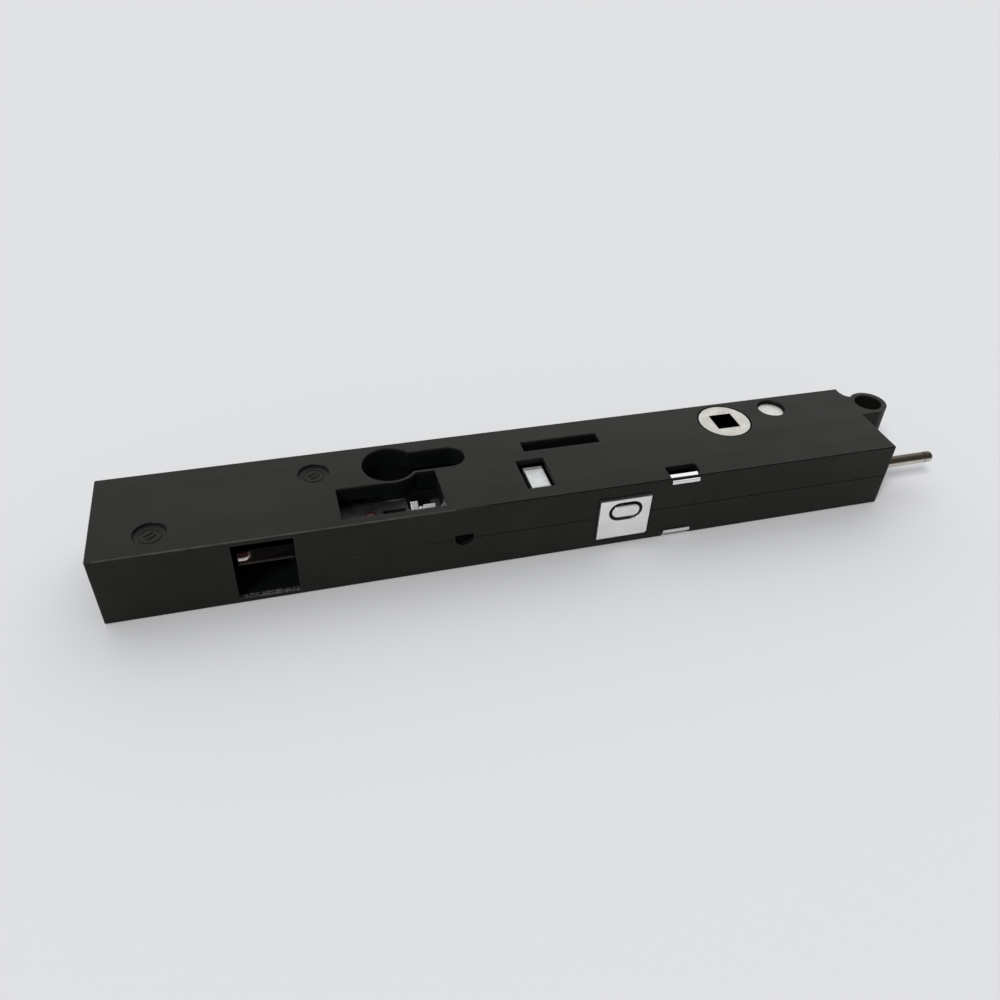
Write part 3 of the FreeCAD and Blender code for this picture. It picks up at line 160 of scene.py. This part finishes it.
# Button spring: radius of its wire, turns, and how finely the coil and the wire are drawn
COIL_WIRE_MM = 0.22
COIL_TURNS = 3
COIL_STEPS = 28
WIRE_STEPS = 8

# Edge rounding of the small metal parts
EASED_MM = {"coupling_block": 0.08, "guide_plate": 0.08, "cam_block": 0.1, "cam_spring": 0.05,
            "case_rivet": 0.08}
EASED_SEGMENTS = 2
EASED_ANGLE = math.radians(35)
WELD_MM = 0.002

# Colours of the black nylon: the ends of its tint, glass fibres, rubbed edges with a painted highlight,
# painted shade inside, painted highlight on the front top edge, painted shade in its lines, painted highlight
# on the sill and its sheen; and the ends of the bush's tint
NYLON_TINTS = ((0.0072, 0.0082, 0.0064), (0.0120, 0.0134, 0.0108))
NYLON_FIBRE = (0.030, 0.032, 0.028)
NYLON_WEAR_AND_HIGHLIGHT = (0.090, 0.094, 0.086)
NYLON_PAINTED_SHADE = (0.0052, 0.0062, 0.0067)
NYLON_EDGE_HIGHLIGHT = (0.075, 0.079, 0.072)
NYLON_LINE_SHADE = (0.0010, 0.0012, 0.0010)
NYLON_SILL_HIGHLIGHT = (0.13, 0.13, 0.12)
NYLON_SHEEN = (0.94, 1.0, 0.88, 1)
BUSH_TINTS = ((0.0020, 0.0022, 0.0020), (0.0040, 0.0044, 0.0040))

# Painted shade colours of the follower hub: on the walls of its square hole and on its side
HUB_BORE_SHADE = (0.012, 0.011, 0.010)
HUB_SIDE_SHADE = (0.020, 0.019, 0.018)

# Colours of the hook bolt: oiled steel, the painted highlight along its low edge, copper flash and the painted
# highlight on the lip
HOOK_TINTS = ((0.005, 0.0045, 0.0045), (0.014, 0.011, 0.010))
HOOK_FOOT_HIGHLIGHT = (0.085, 0.074, 0.064)
HOOK_RED = (0.42, 0.17, 0.15)
HOOK_LIP_HIGHLIGHT = ((0.84, 0.72, 0.68), (0.98, 0.94, 0.91))

# How noise is scaled along X, Y and Z: even, for flat bar and for drawn strip
EVEN = (1, 1, 1)
BAR_GRAIN = (0.2, 1, 1)
STRIP_GRAIN = (0.1, 1, 1)

# How finely a shader rounds edges, and a length in metres beyond every part
BEVEL_SAMPLES = 4
FAR = 1


def camera():
    """The camera at the photograph's viewing angle."""
    data = bpy.data.cameras.new("camera")
    data.sensor_width = CAMERA_SENSOR
    data.lens = CAMERA_LENS
    data.clip_start = CAMERA_NEAR
    data.clip_end = CAMERA_FAR
    obj = bpy.data.objects.new("camera", data)
    bpy.context.scene.collection.objects.link(obj)
    right = Vector(CAMERA_RIGHT)
    up = -Vector(CAMERA_DOWN)
    back = -Vector(CAMERA_FORWARD)
    turn = Matrix((right, up, back)).transposed()
    obj.matrix_world = Matrix.Translation(Vector(CAMERA_PLACE_MM) * MM) @ turn.to_4x4()
    bpy.context.scene.camera = obj


def stage():
    """A plain pale floor and soft studio light."""
    mesh = bpy.data.meshes.new("floor")
    reach = FLOOR_REACH
    mesh.from_pydata([(-reach, -reach, 0), (reach, -reach, 0), (reach, reach, 0), (-reach, reach, 0)],
                     [], [(0, 1, 2, 3)])
    floor = bpy.data.objects.new("floor", mesh)
    floor.location.z = CAD_BOX[0].z - FLOOR_GAP_MM * MM
    bpy.context.scene.collection.objects.link(floor)
    paint = Paint("floor_paper")
    paint.colour(FLOOR_COLOUR)
    paint.set("Roughness", 0.9)
    paint.set("Specular IOR Level", 0.1)
    mesh.materials.append(paint.material)

    bpy.context.scene.world = studio_sky()
    bpy.context.scene.view_settings.view_transform = "Standard"

    lamp = bpy.data.lights.new("sun", "SUN")
    lamp.angle = SUN_ANGLE
    lamp.energy = SUN_STRENGTH
    sun = bpy.data.objects.new("sun", lamp)
    sun.rotation_mode = "QUATERNION"
    sun.rotation_quaternion = Vector(SUN_DIRECTION).to_track_quat("Z", "Y")
    bpy.context.scene.collection.objects.link(sun)


def studio_sky():
    """A pale sky with one brighter side, as from a large window, and a horizon as pale as the floor."""
    world = bpy.data.worlds.new("studio")
    world.use_nodes = True
    tree = world.node_tree
    towards = tree.nodes.new("ShaderNodeTexCoord")
    lean = tree.nodes.new("ShaderNodeVectorMath")
    lean.operation = "DOT_PRODUCT"
    lean.inputs[1].default_value = Vector(SKY_BRIGHT_SIDE).normalized()
    glow = tree.nodes.new("ShaderNodeMapRange")
    glow.interpolation_type = "SMOOTHSTEP"
    glow.inputs["From Min"].default_value = SKY_FADE[0]
    glow.inputs["From Max"].default_value = SKY_FADE[1]
    glow.inputs["To Min"].default_value = SKY_LOW
    glow.inputs["To Max"].default_value = SKY_HIGH
    back = tree.nodes["Background"]
    back.inputs["Color"].default_value = (*SKY_COLOUR, 1)
    tree.links.new(towards.outputs["Generated"], lean.inputs[0])
    tree.links.new(lean.outputs["Value"], glow.inputs["Value"])
    split = tree.nodes.new("ShaderNodeSeparateXYZ")
    tree.links.new(towards.outputs["Generated"], split.inputs[0])
    haze = tree.nodes.new("ShaderNodeMapRange")
    haze.interpolation_type = "SMOOTHSTEP"
    haze.inputs["From Min"].default_value = HORIZON_TOP
    haze.inputs["From Max"].default_value = 0.0
    haze.inputs["To Max"].default_value = HORIZON_STRENGTH
    tree.links.new(split.outputs["Z"], haze.inputs["Value"])
    brighter = tree.nodes.new("ShaderNodeMath")
    brighter.operation = "MAXIMUM"
    tree.links.new(glow.outputs["Result"], brighter.inputs[0])
    tree.links.new(haze.outputs["Result"], brighter.inputs[1])
    tree.links.new(brighter.outputs["Value"], back.inputs["Strength"])
    return world


class Paint:
    """A node material that is built up step by step on one Principled shader."""

    def __init__(self, name):
        self.material = bpy.data.materials.new(name)
        self.material.use_nodes = True
        self.tree = self.material.node_tree
        self.shader = self.tree.nodes["Principled BSDF"]
        self.place = self.tree.nodes.new("ShaderNodeTexCoord").outputs["Object"]
        self.height = None
        self.split = None

    def node(self, kind, **inputs):
        """A new node with those inputs fed; an underscore in a name stands for a space."""
        made = self.tree.nodes.new(kind)
        for name, value in inputs.items():
            self.feed(made.inputs[name.replace("_", " ")], value)
        return made

    def feed(self, socket, value):
        """Links an output to the socket, or sets its value."""
        if isinstance(value, bpy.types.NodeSocket):
            self.tree.links.new(value, socket)
        else:
            socket.default_value = value

    def set(self, name, value):
        self.feed(self.shader.inputs[name], value)

    def colour(self, value):
        self.set("Base Color", (*value, 1))

    def stretched(self, scale):
        """Object coordinates in metres, scaled along each axis."""
        mapping = self.node("ShaderNodeMapping")
        self.feed(mapping.inputs["Vector"], self.place)
        mapping.inputs["Scale"].default_value = scale
        return mapping.outputs["Vector"]

    def noise(self, scale, detail=4.0, rough=0.5, stretch=EVEN, warp=0.0):
        """Noise from 0 to 1; scale is features per metre."""
        made = self.node("ShaderNodeTexNoise", Scale=scale, Detail=detail, Roughness=rough, Distortion=warp)
        self.feed(made.inputs["Vector"], self.stretched(stretch))
        return made.outputs["Fac"]

    def axis(self, letter):
        """One object coordinate in metres."""
        if self.split is None:
            self.split = self.node("ShaderNodeSeparateXYZ")
            self.feed(self.split.inputs[0], self.place)
        return self.split.outputs[letter]

    def band(self, value, low, high, soft):
        """1 between low and high and 0 outside, with soft borders; all in metres."""
        rise = self.node("ShaderNodeMapRange", Value=value, From_Min=low - soft, From_Max=low)
        fall = self.node("ShaderNodeMapRange", Value=value, From_Min=high + soft, From_Max=high)
        return self.maths("MULTIPLY", rise.outputs["Result"], fall.outputs["Result"])

    def inside(self, low, high, soft):
        """1 within a box given by two corners in metres and 0 outside it."""
        share = None
        for letter, near, far in zip("XYZ", low, high):
            step = self.band(self.axis(letter), near, far, soft)
            share = step if share is None else self.maths("MULTIPLY", share, step)
        return share

    def reach(self, centre):
        """The distance in metres from an upright axis through centre."""
        flat = self.node("ShaderNodeCombineXYZ", X=self.maths("SUBTRACT", self.axis("X"), centre[0]),
                         Y=self.maths("SUBTRACT", self.axis("Y"), centre[1]))
        length = self.node("ShaderNodeVectorMath")
        length.operation = "LENGTH"
        self.feed(length.inputs[0], flat.outputs["Vector"])
        return length.outputs["Value"]

    def ramp(self, value, stops):
        """A value or colour from stops, each (place, grey or colour)."""
        made = self.node("ShaderNodeValToRGB")
        self.feed(made.inputs["Fac"], value)
        line = made.color_ramp
        while len(line.elements) < len(stops):
            line.elements.new(0.5)
        for element, (place, colour) in zip(line.elements, stops):
            element.position = place
            rgb = colour if isinstance(colour, tuple) else (colour,) * 3
            element.color = (*rgb, 1)
        return made.outputs["Color"]

    def maths(self, operation, first, second=0.0):
        """One operation on one or two values."""
        made = self.node("ShaderNodeMath")
        made.operation = operation
        self.feed(made.inputs[0], first)
        self.feed(made.inputs[1], second)
        return made.outputs["Value"]

    def mix(self, share, first, second):
        """The first colour where share is 0 and the second where it is 1."""
        made = self.node("ShaderNodeMix")
        made.data_type = "RGBA"
        self.feed(made.inputs["Factor"], share)
        for name, value in (("A", first), ("B", second)):
            socket = [s for s in made.inputs if s.name == name and s.type == "RGBA"][0]
            self.feed(socket, (*value, 1) if isinstance(value, tuple) else value)
        return [s for s in made.outputs if s.type == "RGBA"][0]

    def bump(self, value, distance, strength=1.0):
        """Adds a bump of that height in metres on top of the earlier ones."""
        made = self.node("ShaderNodeBump", Strength=strength, Distance=distance, Height=value)
        if self.height is not None:
            self.tree.links.new(self.height, made.inputs["Normal"])
        self.height = made.outputs["Normal"]
        self.set("Normal", self.height)

    def rounded(self, radius):
        """The surface's normal with its sharp edges rounded."""
        made = self.node("ShaderNodeBevel", Radius=radius)
        made.samples = BEVEL_SAMPLES
        return made.outputs["Normal"]

    def soft_edges(self, radius):
        """Rounds the look of sharp edges; called before any bump."""
        self.height = self.rounded(radius)
        self.set("Normal", self.height)

    def edge_nearness(self, radius):
        """1 near sharp edges and 0 on flats, from how far the rounded normal leans."""
        flat = self.tree.nodes.new("ShaderNodeNewGeometry").outputs["Normal"]
        lean = self.node("ShaderNodeVectorMath")
        lean.operation = "DOT_PRODUCT"
        self.feed(lean.inputs[0], self.rounded(radius))
        self.feed(lean.inputs[1], flat)
        return self.ramp(lean.outputs["Value"], [(0.75, 1.0), (0.97, 0.0)])


def black_nylon():
    """Glass-filled black nylon: spark texture, flow marks, rubbed edges with a painted highlight, painted
    shade inside and in its lines, and painted highlights.
    """
    paint = Paint("black_nylon_moulded")
    paint.soft_edges(0.00018)
    dark, light = NYLON_TINTS
    tint = paint.ramp(paint.noise(38, 5, 0.6, warp=0.6), [(0.3, dark), (0.72, light)])
    fibre = paint.ramp(paint.noise(900, 3, 0.7, (0.18, 1, 1)), [(0.62, 0.0), (0.80, 1.0)])
    tint = paint.mix(paint.maths("MULTIPLY", fibre, 0.35), tint, NYLON_FIBRE)
    # Edges lightened, partly as rubbed plastic and partly as a painted highlight
    wear_and_highlight = paint.maths("MULTIPLY", paint.edge_nearness(0.00035), paint.noise(420, 4, 0.7))
    tint = paint.mix(paint.maths("MULTIPLY", wear_and_highlight, 0.9), tint, NYLON_WEAR_AND_HIGHLIGHT)
    # Painted shade on the case's inner walls and on the walls of the round wells
    tint = paint.mix(shaded_inside(paint), tint, NYLON_PAINTED_SHADE)
    # Painted highlight along the left part of the front top edge
    tint = paint.mix(edge_highlight(paint), tint, NYLON_EDGE_HIGHLIGHT)
    # Painted shade along the right part of the front top edge, round the guide plate and in the parting line
    tint = paint.mix(shaded_lines(paint), tint, NYLON_LINE_SHADE)
    # Painted highlight specks on the sill of the bolt window
    paint.set("Base Color", paint.mix(sill_highlight(paint), tint, NYLON_SILL_HIGHLIGHT))
    rub = paint.noise(60, 6, 0.65, (0.25, 1, 1), 1.2)
    paint.set("Roughness", paint.ramp(rub, [(0.3, 0.42), (0.7, 0.55)]))
    paint.set("Specular IOR Level", 0.16)
    paint.set("Specular Tint", NYLON_SHEEN)
    paint.bump(paint.noise(2600, 2, 0.6), 0.00002, 0.55)
    paint.bump(paint.noise(260, 3, 0.5, (0.3, 1, 1)), 0.00005, 0.35)
    return paint.material


def shaded_inside(paint):
    """1 on the case's inner walls and on the upright walls of the round wells, where shade is painted."""
    top = CAD_BOX[1].z
    margin = INNER_MARGIN_MM * MM
    low = (CAD_BOX[0].x + margin, CASE_FRONT_MM * MM + margin, CAD_BOX[0].z + margin)
    high = (CASE_RIGHT_MM * MM - margin, CAD_BOX[1].y - margin, top - INNER_TOP_MM * MM)
    inner = paint.inside(low, high, INNER_SOFT_MM * MM)
    across, along = (value * MM for value in WELL_SOFT_MM)
    for x, y, radius, depth in SHADED_WELLS_MM:
        reach = paint.reach((x * MM, y * MM))
        ring = paint.band(reach, (radius - WELL_WALL_MM) * MM, radius * MM, across)
        upright = paint.band(paint.axis("Z"), top - depth * MM, top - WELL_RIM_MM * MM, along)
        inner = paint.maths("MAXIMUM", inner, paint.maths("MULTIPLY", ring, upright))
    return inner


def edge_highlight(paint):
    """1 where a painted highlight runs along the left part of the front top edge."""
    front, top, line = CASE_FRONT_MM * MM, CAD_BOX[1].z, EDGE_LINE_MM * MM
    left, right = (value * MM for value in HIGHLIGHT_X_MM)
    edge = paint.inside((left, front - line, top - line * 0.5), (right, front + line, top + line),
                        LINE_SOFT_MM * MM)
    return paint.maths("MULTIPLY", edge, paint.ramp(paint.noise(300, 4, 0.6), [(0.30, 0.3), (0.70, 0.9)]))


def shaded_lines(paint):
    """1 where shade is painted: right part of the front top edge, round the guide plate and in the parting
    line.
    """
    front, top, line = CASE_FRONT_MM * MM, CAD_BOX[1].z, EDGE_LINE_MM * MM
    left, right = (value * MM for value in SHADED_EDGE_X_MM)
    soft = LINE_SOFT_MM * MM
    edge = paint.inside((left, front - line, top - line * 0.6), (right, front + line, top + line), soft)
    shade_margin = Vector((PLATE_SHADE_MM * MM, line, PLATE_SHADE_MM * MM))
    low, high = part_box("guide_plate")
    surround = paint.inside(Vector((low.x, front, low.z)) - shade_margin, Vector((high.x, front, high.z)) + shade_margin,
                            soft)
    middle = (CAD_BOX[0].z + top) / 2
    half = PARTING_SHADE_MM * MM
    level = paint.band(paint.axis("Z"), middle - half, middle + half, PARTING_SOFT_MM * MM)
    rightward = paint.band(paint.axis("X"), left, FAR, PARTING_FADE_MM * MM)
    parting = paint.maths("MULTIPLY", level, rightward)
    return paint.maths("MAXIMUM", paint.maths("MAXIMUM", edge, surround), parting)


def sill_highlight(paint):
    """1 in the specks of painted highlight on the sill of the bolt window."""
    front = CASE_FRONT_MM * MM
    sill = paint.inside((SILL_X_MM[0] * MM, front - EDGE_LINE_MM * MM, SILL_MM[0] * MM),
                        (SILL_X_MM[1] * MM, front + SILL_DEEP_MM * MM, SILL_MM[1] * MM), SILL_SOFT_MM * MM)
    return paint.maths("MULTIPLY", sill, paint.ramp(paint.noise(900, 3, 0.7), [(0.42, 0.0), (0.62, 1.0)]))


def dark_nylon():
    """Matt black nylon for the small bush in the guide plate."""
    paint = Paint("black_nylon_bush")
    paint.soft_edges(0.0001)
    dark, light = BUSH_TINTS
    paint.set("Base Color", paint.ramp(paint.noise(240, 5, 0.6), [(0.3, dark), (0.7, light)]))
    paint.set("Roughness", paint.ramp(paint.noise(900, 3, 0.7), [(0.3, 0.5), (0.7, 0.65)]))
    paint.set("Specular IOR Level", 0.08)
    paint.bump(paint.noise(2600, 2, 0.6), 0.00001, 0.5)
    return paint.material


def metal(name, dark, light, rough, grain=EVEN, grain_scale=900, stain=None, shade=None):
    """A metal with grain, uneven polish and rounded edges; dark and light are the ends of its tint.

    stain is a spot colour. shade is (axis, low, high, soft, colour): a band along one axis painted darker, as
    painted shade.
    """
    paint = Paint(name)
    paint.soft_edges(0.00012)
    tint = paint.ramp(paint.noise(70, 5, 0.6, warp=0.8), [(0.3, dark), (0.7, light)])
    if stain:
        spots = paint.ramp(paint.noise(300, 4, 0.7, warp=1.0), [(0.52, 0.0), (0.72, 1.0)])
        tint = paint.mix(paint.maths("MULTIPLY", spots, 0.5), tint, stain)
    if shade:
        letter, low, high, soft, colour = shade
        tint = paint.mix(paint.band(paint.axis(letter), low, high, soft), tint, colour)
    paint.set("Base Color", tint)
    paint.set("Metallic", 1.0)
    polish = paint.noise(grain_scale * 0.35, 4, 0.6, grain)
    paint.set("Roughness", paint.ramp(polish, [(0.3, rough * 0.8), (0.7, min(1.0, rough * 1.3))]))
    paint.bump(paint.noise(grain_scale, 3, 0.65, grain), 0.000012, 0.6)
    return paint.material


def lathe_turned(name, centre, dark, light, rough, spacing, speckle, bore=None, side=None):
    """A metal with fine turned rings, spacing apart, round an upright axis through centre, and cast specks.

    bore is half the width of a square hole whose walls get painted shade, near black. side is (radius, low,
    high) of a rim in painted shade; all in metres.
    """
    paint = Paint(name)
    paint.soft_edges(0.0001)
    radius = paint.reach(centre)
    rings = paint.maths("SINE", paint.maths("MULTIPLY", radius, 2 * math.pi / spacing))
    uneven = paint.noise(500, 4, 0.7)
    tint = paint.ramp(paint.noise(160, 5, 0.65, warp=0.6), [(0.3, dark), (0.7, light)])
    specks = paint.ramp(paint.noise(1300, 3, 0.75), [(0.56, 0.0), (0.68, 1.0)])
    tint = paint.mix(paint.maths("MULTIPLY", specks, speckle), tint, tuple(0.45 * part for part in dark))
    across, along = (value * MM for value in HUB_SOFT_MM)
    # Painted shade on the walls of the square hole
    if bore:
        half = Vector((bore, bore, FAR))
        middle = Vector((centre[0], centre[1], 0))
        tint = paint.mix(paint.inside(middle - half, middle + half, along), tint, HUB_BORE_SHADE)
    # Painted shade on the hub's side below its face
    if side:
        least, low, high = side
        rim = paint.maths("MULTIPLY", paint.band(radius, least, FAR, across),
                          paint.band(paint.axis("Z"), low, high, along))
        tint = paint.mix(rim, tint, HUB_SIDE_SHADE)
    paint.set("Base Color", tint)
    paint.set("Metallic", 1.0)
    paint.set("Roughness", paint.ramp(uneven, [(0.3, rough * 0.85), (0.7, rough * 1.2)]))
    paint.bump(paint.maths("MULTIPLY", rings, uneven), 0.00001, 0.6)
    paint.bump(paint.noise(1300, 3, 0.75), 0.00002, 0.5)
    return paint.material


def hook_finish():
    """Nearly black oiled steel with copper flash: a painted highlight on the lip and right side, red behind
    it, and one along the low edge.
    """
    paint = Paint("hook_copper_flash")
    paint.soft_edges(0.00015)
    wander = paint.maths("MULTIPLY", paint.maths("SUBTRACT", paint.noise(700, 4, 0.7), 0.5),
                         HOOK_WANDER_MM * MM)
    along = paint.maths("ADD", paint.axis("X"), wander)
    across = paint.maths("ADD", paint.axis("Y"), wander)
    upright = paint.maths("ADD", paint.axis("Z"), wander)
    nose_x, lip_y, right_x = (value * MM for value in HOOK_NOSE_MM)
    back_y, top_z = (value * MM for value in HOOK_RED_MM)
    crisp, soft, faint = (value * MM for value in HOOK_SOFT_MM)
    foot_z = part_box("hook_bolt")[0].z
    dark, light = HOOK_TINTS
    tint = paint.ramp(paint.noise(220, 5, 0.65, (0.3, 1, 1), 0.8), [(0.3, dark), (0.7, light)])
    # Painted highlight along the low edge
    foot = paint.band(upright, foot_z - MM, foot_z + HOOK_FOOT_MM * MM, faint)
    tint = paint.mix(paint.maths("MULTIPLY", foot, 0.7), tint, HOOK_FOOT_HIGHLIGHT)
    nose = paint.band(along, nose_x - MM, right_x, faint)
    nose = paint.maths("MULTIPLY", nose, paint.band(across, -FAR, back_y, faint))
    nose = paint.maths("MULTIPLY", nose, paint.band(upright, -FAR, top_z, soft))
    tint = paint.mix(paint.maths("MULTIPLY", nose, 0.9), tint, HOOK_RED)
    # Painted highlight on the front of the lip and along its right side
    lip = paint.band(across, lip_y - MM, lip_y + HOOK_LIP_MM[0] * MM, soft)
    side = paint.band(along, right_x - HOOK_SIDE_MM[0] * MM, right_x + HOOK_SIDE_MM[1] * MM, crisp)
    edge = paint.maths("MAXIMUM", lip, paint.maths("MULTIPLY", side, 0.8))
    edge = paint.maths("MULTIPLY", edge, paint.maths("LESS_THAN", across, lip_y + HOOK_LIP_MM[1] * MM))
    dull, bright = HOOK_LIP_HIGHLIGHT
    lip_highlight = paint.ramp(paint.noise(900, 3, 0.6), [(0.35, dull), (0.65, bright)])
    paint.set("Base Color", paint.mix(edge, tint, lip_highlight))
    bare = paint.node("ShaderNodeMapRange", Value=nose)
    bare.inputs["To Min"].default_value = 1.0
    bare.inputs["To Max"].default_value = 0.35
    paint.set("Metallic", bare.outputs["Result"])
    paint.set("Roughness", paint.ramp(paint.noise(400, 4, 0.6, (0.2, 1, 1)), [(0.3, 0.30), (0.7, 0.46)]))
    paint.bump(paint.noise(1200, 3, 0.65, (0.3, 1, 1)), 0.000012, 0.6)
    return paint.material


def dress(names, material):
    """Gives CAD nodes one material, on every slot of their mesh."""
    for name in names:
        mesh = frame["nodes"][name].data
        if not mesh.materials:
            mesh.materials.append(material)
        for index in range(len(mesh.materials)):
            mesh.materials[index] = material


def joint(name):
    """One joint of the frame."""
    return [found for found in frame["joints"] if found["name"] == name][0]


def dress_all():
    """Every CAD node's finish."""
    dress(["upper_shell", "lower_shell"], black_nylon())
    dress(["button_bush"], dark_nylon())
    radius, low, gap = (value * MM for value in HUB_SIDE_MM)
    side = (radius, low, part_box("follower")[1].z - gap)
    dress(["follower"], lathe_turned("zinc_hub_face", joint("follower_turn")["pos_m"], (0.50, 0.48, 0.44),
                                     (0.68, 0.665, 0.625), 0.46, 0.00045, 0.55, SQUARE_HALF_MM * MM, side))
    rivet = (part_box("case_rivet")[0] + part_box("case_rivet")[1]) / 2
    dress(["case_rivet"], lathe_turned("rivet_end", rivet, (0.60, 0.60, 0.57), (0.78, 0.78, 0.74),
                                       0.48, 0.0006, 0.3))
    dress(["coupling_block"], metal("cast_zinc", (0.50, 0.51, 0.51), (0.64, 0.65, 0.65), 0.42,
                                    grain_scale=1400))
    dress(["guide_plate"], metal("nickel_plate", (0.85, 0.85, 0.84), (0.95, 0.95, 0.94), 0.30,
                                 BAR_GRAIN, 1100))
    dress(["trigger_button"], metal("nickel_button", (0.80, 0.80, 0.79), (0.90, 0.90, 0.89), 0.26,
                                    (1, 1, 0.2)))
    dress(["cam_spring", "trigger_spring", "drive_detent_spring", "lock_detent_spring"],
          metal("spring_strip", (0.86, 0.86, 0.86), (0.97, 0.97, 0.97), 0.26, STRIP_GRAIN))
    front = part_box("shell_clip")[0].y
    # Painted dark reflection band across the clip's fold
    clip_shade = ("Y", front + CLIP_SHADE_MM[0] * MM, front + CLIP_SHADE_MM[1] * MM, 0.0001, (0.012, 0.012, 0.012))
    dress(["shell_clip"], metal("clip_strip", (0.78, 0.78, 0.78), (0.92, 0.92, 0.92), 0.20, STRIP_GRAIN,
                                shade=clip_shade))
    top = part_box("connecting_rod")[1].z
    # Painted dark reflection along the rod's top
    rod_shade = ("Z", top - ROD_SHADE_MM * MM, top, 0.0004, (0.10, 0.085, 0.065))
    dress(["connecting_rod"], metal("plated_rod", (0.44, 0.41, 0.36), (0.62, 0.59, 0.54), 0.15, (0.08, 1, 1),
                                    shade=rod_shade))
    dress(["hook_bolt"], hook_finish())
    dress(["cam_block"], metal("cast_cam_block", (0.050, 0.050, 0.053), (0.115, 0.113, 0.112), 0.52,
                               (0.4, 1, 1)))
    dress(["lock_slide", "drive_slide"],
          metal("oiled_steel", (0.028, 0.028, 0.029), (0.075, 0.073, 0.07), 0.5, BAR_GRAIN))
    dress(["cam_block_rivets"], metal("copper_rivet", (0.075, 0.032, 0.033), (0.14, 0.062, 0.062), 0.5))
    dress(["hook_bush"], metal("turned_brass", (0.50, 0.38, 0.18), (0.66, 0.52, 0.27), 0.3))
    dress(["hook_pivot_pin", "hook_retaining_washer", "hook_guide_pin", "coupling_rivets", "locating_dowels"],
          metal("ground_steel", (0.42, 0.42, 0.42), (0.58, 0.58, 0.58), 0.32))
    dress(["rod_lock_nut", "case_screws"],
          metal("zinc_plated_steel", (0.46, 0.46, 0.47), (0.66, 0.66, 0.67), 0.36, stain=(0.55, 0.53, 0.44)))


def level_rings(outline, section, closed):
    """The section stood upright at each point of a level path."""
    count = len(outline)
    rings = []
    for number, point in enumerate(outline):
        before = outline[number - 1] if closed or number > 0 else point
        after = outline[(number + 1) % count] if closed or number < count - 1 else point
        ahead = (after - before).normalized()
        side = Vector((ahead.y, -ahead.x, 0))
        rings.append([point + side * across + Vector((0, 0, rise)) for across, rise in section])
    return rings


def swept(name, places, closed, material, body):
    """A bar skinned over rings of points in metres, riding a body."""
    shape = bmesh.new()
    rings = [[shape.verts.new(place) for place in ring] for ring in places]
    count = len(rings)
    spans = count if closed else count - 1
    width = len(rings[0])
    for number in range(spans):
        near, far = rings[number], rings[(number + 1) % count]
        for step in range(width):
            following = (step + 1) % width
            shape.faces.new((near[step], near[following], far[following], far[step]))
    if not closed:
        shape.faces.new(rings[0])
        shape.faces.new(rings[-1][::-1])
    bmesh.ops.recalc_face_normals(shape, faces=shape.faces)
    mesh = bpy.data.meshes.new(name)
    shape.to_mesh(mesh)
    shape.free()
    for face in mesh.polygons:
        face.use_smooth = True
    mesh.materials.append(material)
    piece = bpy.data.objects.new(name, mesh)
    bpy.context.scene.collection.objects.link(piece)
    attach(piece, body)
    return piece


def moulded_marks():
    """Plain raised marks on the floors of the two round recesses: a ring and two bars, with no meaning."""
    black = bpy.data.materials["black_nylon_moulded"]
    turn = math.radians(MARK_TURN_DEG)
    reach = Vector((math.cos(turn), math.sin(turn), 0)) * MARK_REACH_MM * MM
    aside = Vector((-reach.y, reach.x, 0)) * MARK_BAR_SPREAD
    for number, (x, y) in enumerate(RECESSES_MM):
        floor = Vector((x * MM, y * MM, CAD_BOX[1].z - RECESS_DEPTH_MM * MM))
        circle = []
        for step in range(MARK_STEPS):
            angle = 2 * math.pi * step / MARK_STEPS
            circle.append(floor + Vector((math.cos(angle), math.sin(angle), 0)) * MARK_RADIUS_MM * MM)
        rings = level_rings(circle, rib_section(*RING_RIB_MM), True)
        swept("mark_ring_%d" % number, rings, True, black, "case")
        for side in (-1, 1):
            middle = floor + aside * side
            rings = level_rings([middle - reach, middle, middle + reach], rib_section(*BAR_RIB_MM), False)
            swept("mark_bar_%d_%d" % (number, side + 1), rings, False, black, "case")


def rib_section(half_width, height):
    """The rounded section of a raised rib, in metres, sunk a little into the floor it stands on."""
    corners = [(half_width, -RIB_SINK_MM), (half_width, height * RIB_SHOULDER),
               (half_width * RIB_CROWN, height)]
    left = [(-across, rise) for across, rise in corners]
    return [(across * MM, rise * MM) for across, rise in left + corners[::-1]]


def button_coil():
    """The button's coil spring; it stands for the rigid coil."""
    low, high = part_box("trigger_spring")
    wire = COIL_WIRE_MM * MM
    centre = (low + high) / 2
    radius = (high.z - low.z) / 2 - wire
    steps = COIL_TURNS * COIL_STEPS
    rings = []
    for step in range(steps + 1):
        angle = 2 * math.pi * step / COIL_STEPS
        outward = Vector((math.cos(angle), 0, math.sin(angle)))
        place = Vector((centre.x, low.y + wire + (high.y - low.y - 2 * wire) * step / steps, centre.z))
        ring = []
        for corner in range(WIRE_STEPS):
            lean = 2 * math.pi * corner / WIRE_STEPS
            ring.append(place + outward * (radius + wire * math.cos(lean))
                        + Vector((0, wire * math.sin(lean), 0)))
        rings.append(ring)
    coil = swept("trigger_spring_coil", rings, False, bpy.data.materials["spring_strip"], "case")
    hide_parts("trigger_spring")
    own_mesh(coil)


def ease_edges():
    """Rounds the hard edges of the small bright metal parts."""
    for name, radius in EASED_MM.items():
        obj = frame["nodes"][name]
        weld = obj.modifiers.new("weld", "WELD")
        weld.merge_threshold = WELD_MM * MM
        bevel = obj.modifiers.new("ease", "BEVEL")
        bevel.width = radius * MM
        bevel.segments = EASED_SEGMENTS
        bevel.limit_method = "ANGLE"
        bevel.angle_limit = EASED_ANGLE
        bevel.use_clamp_overlap = True


camera()
stage()
dress_all()
moulded_marks()
button_coil()
ease_edges()
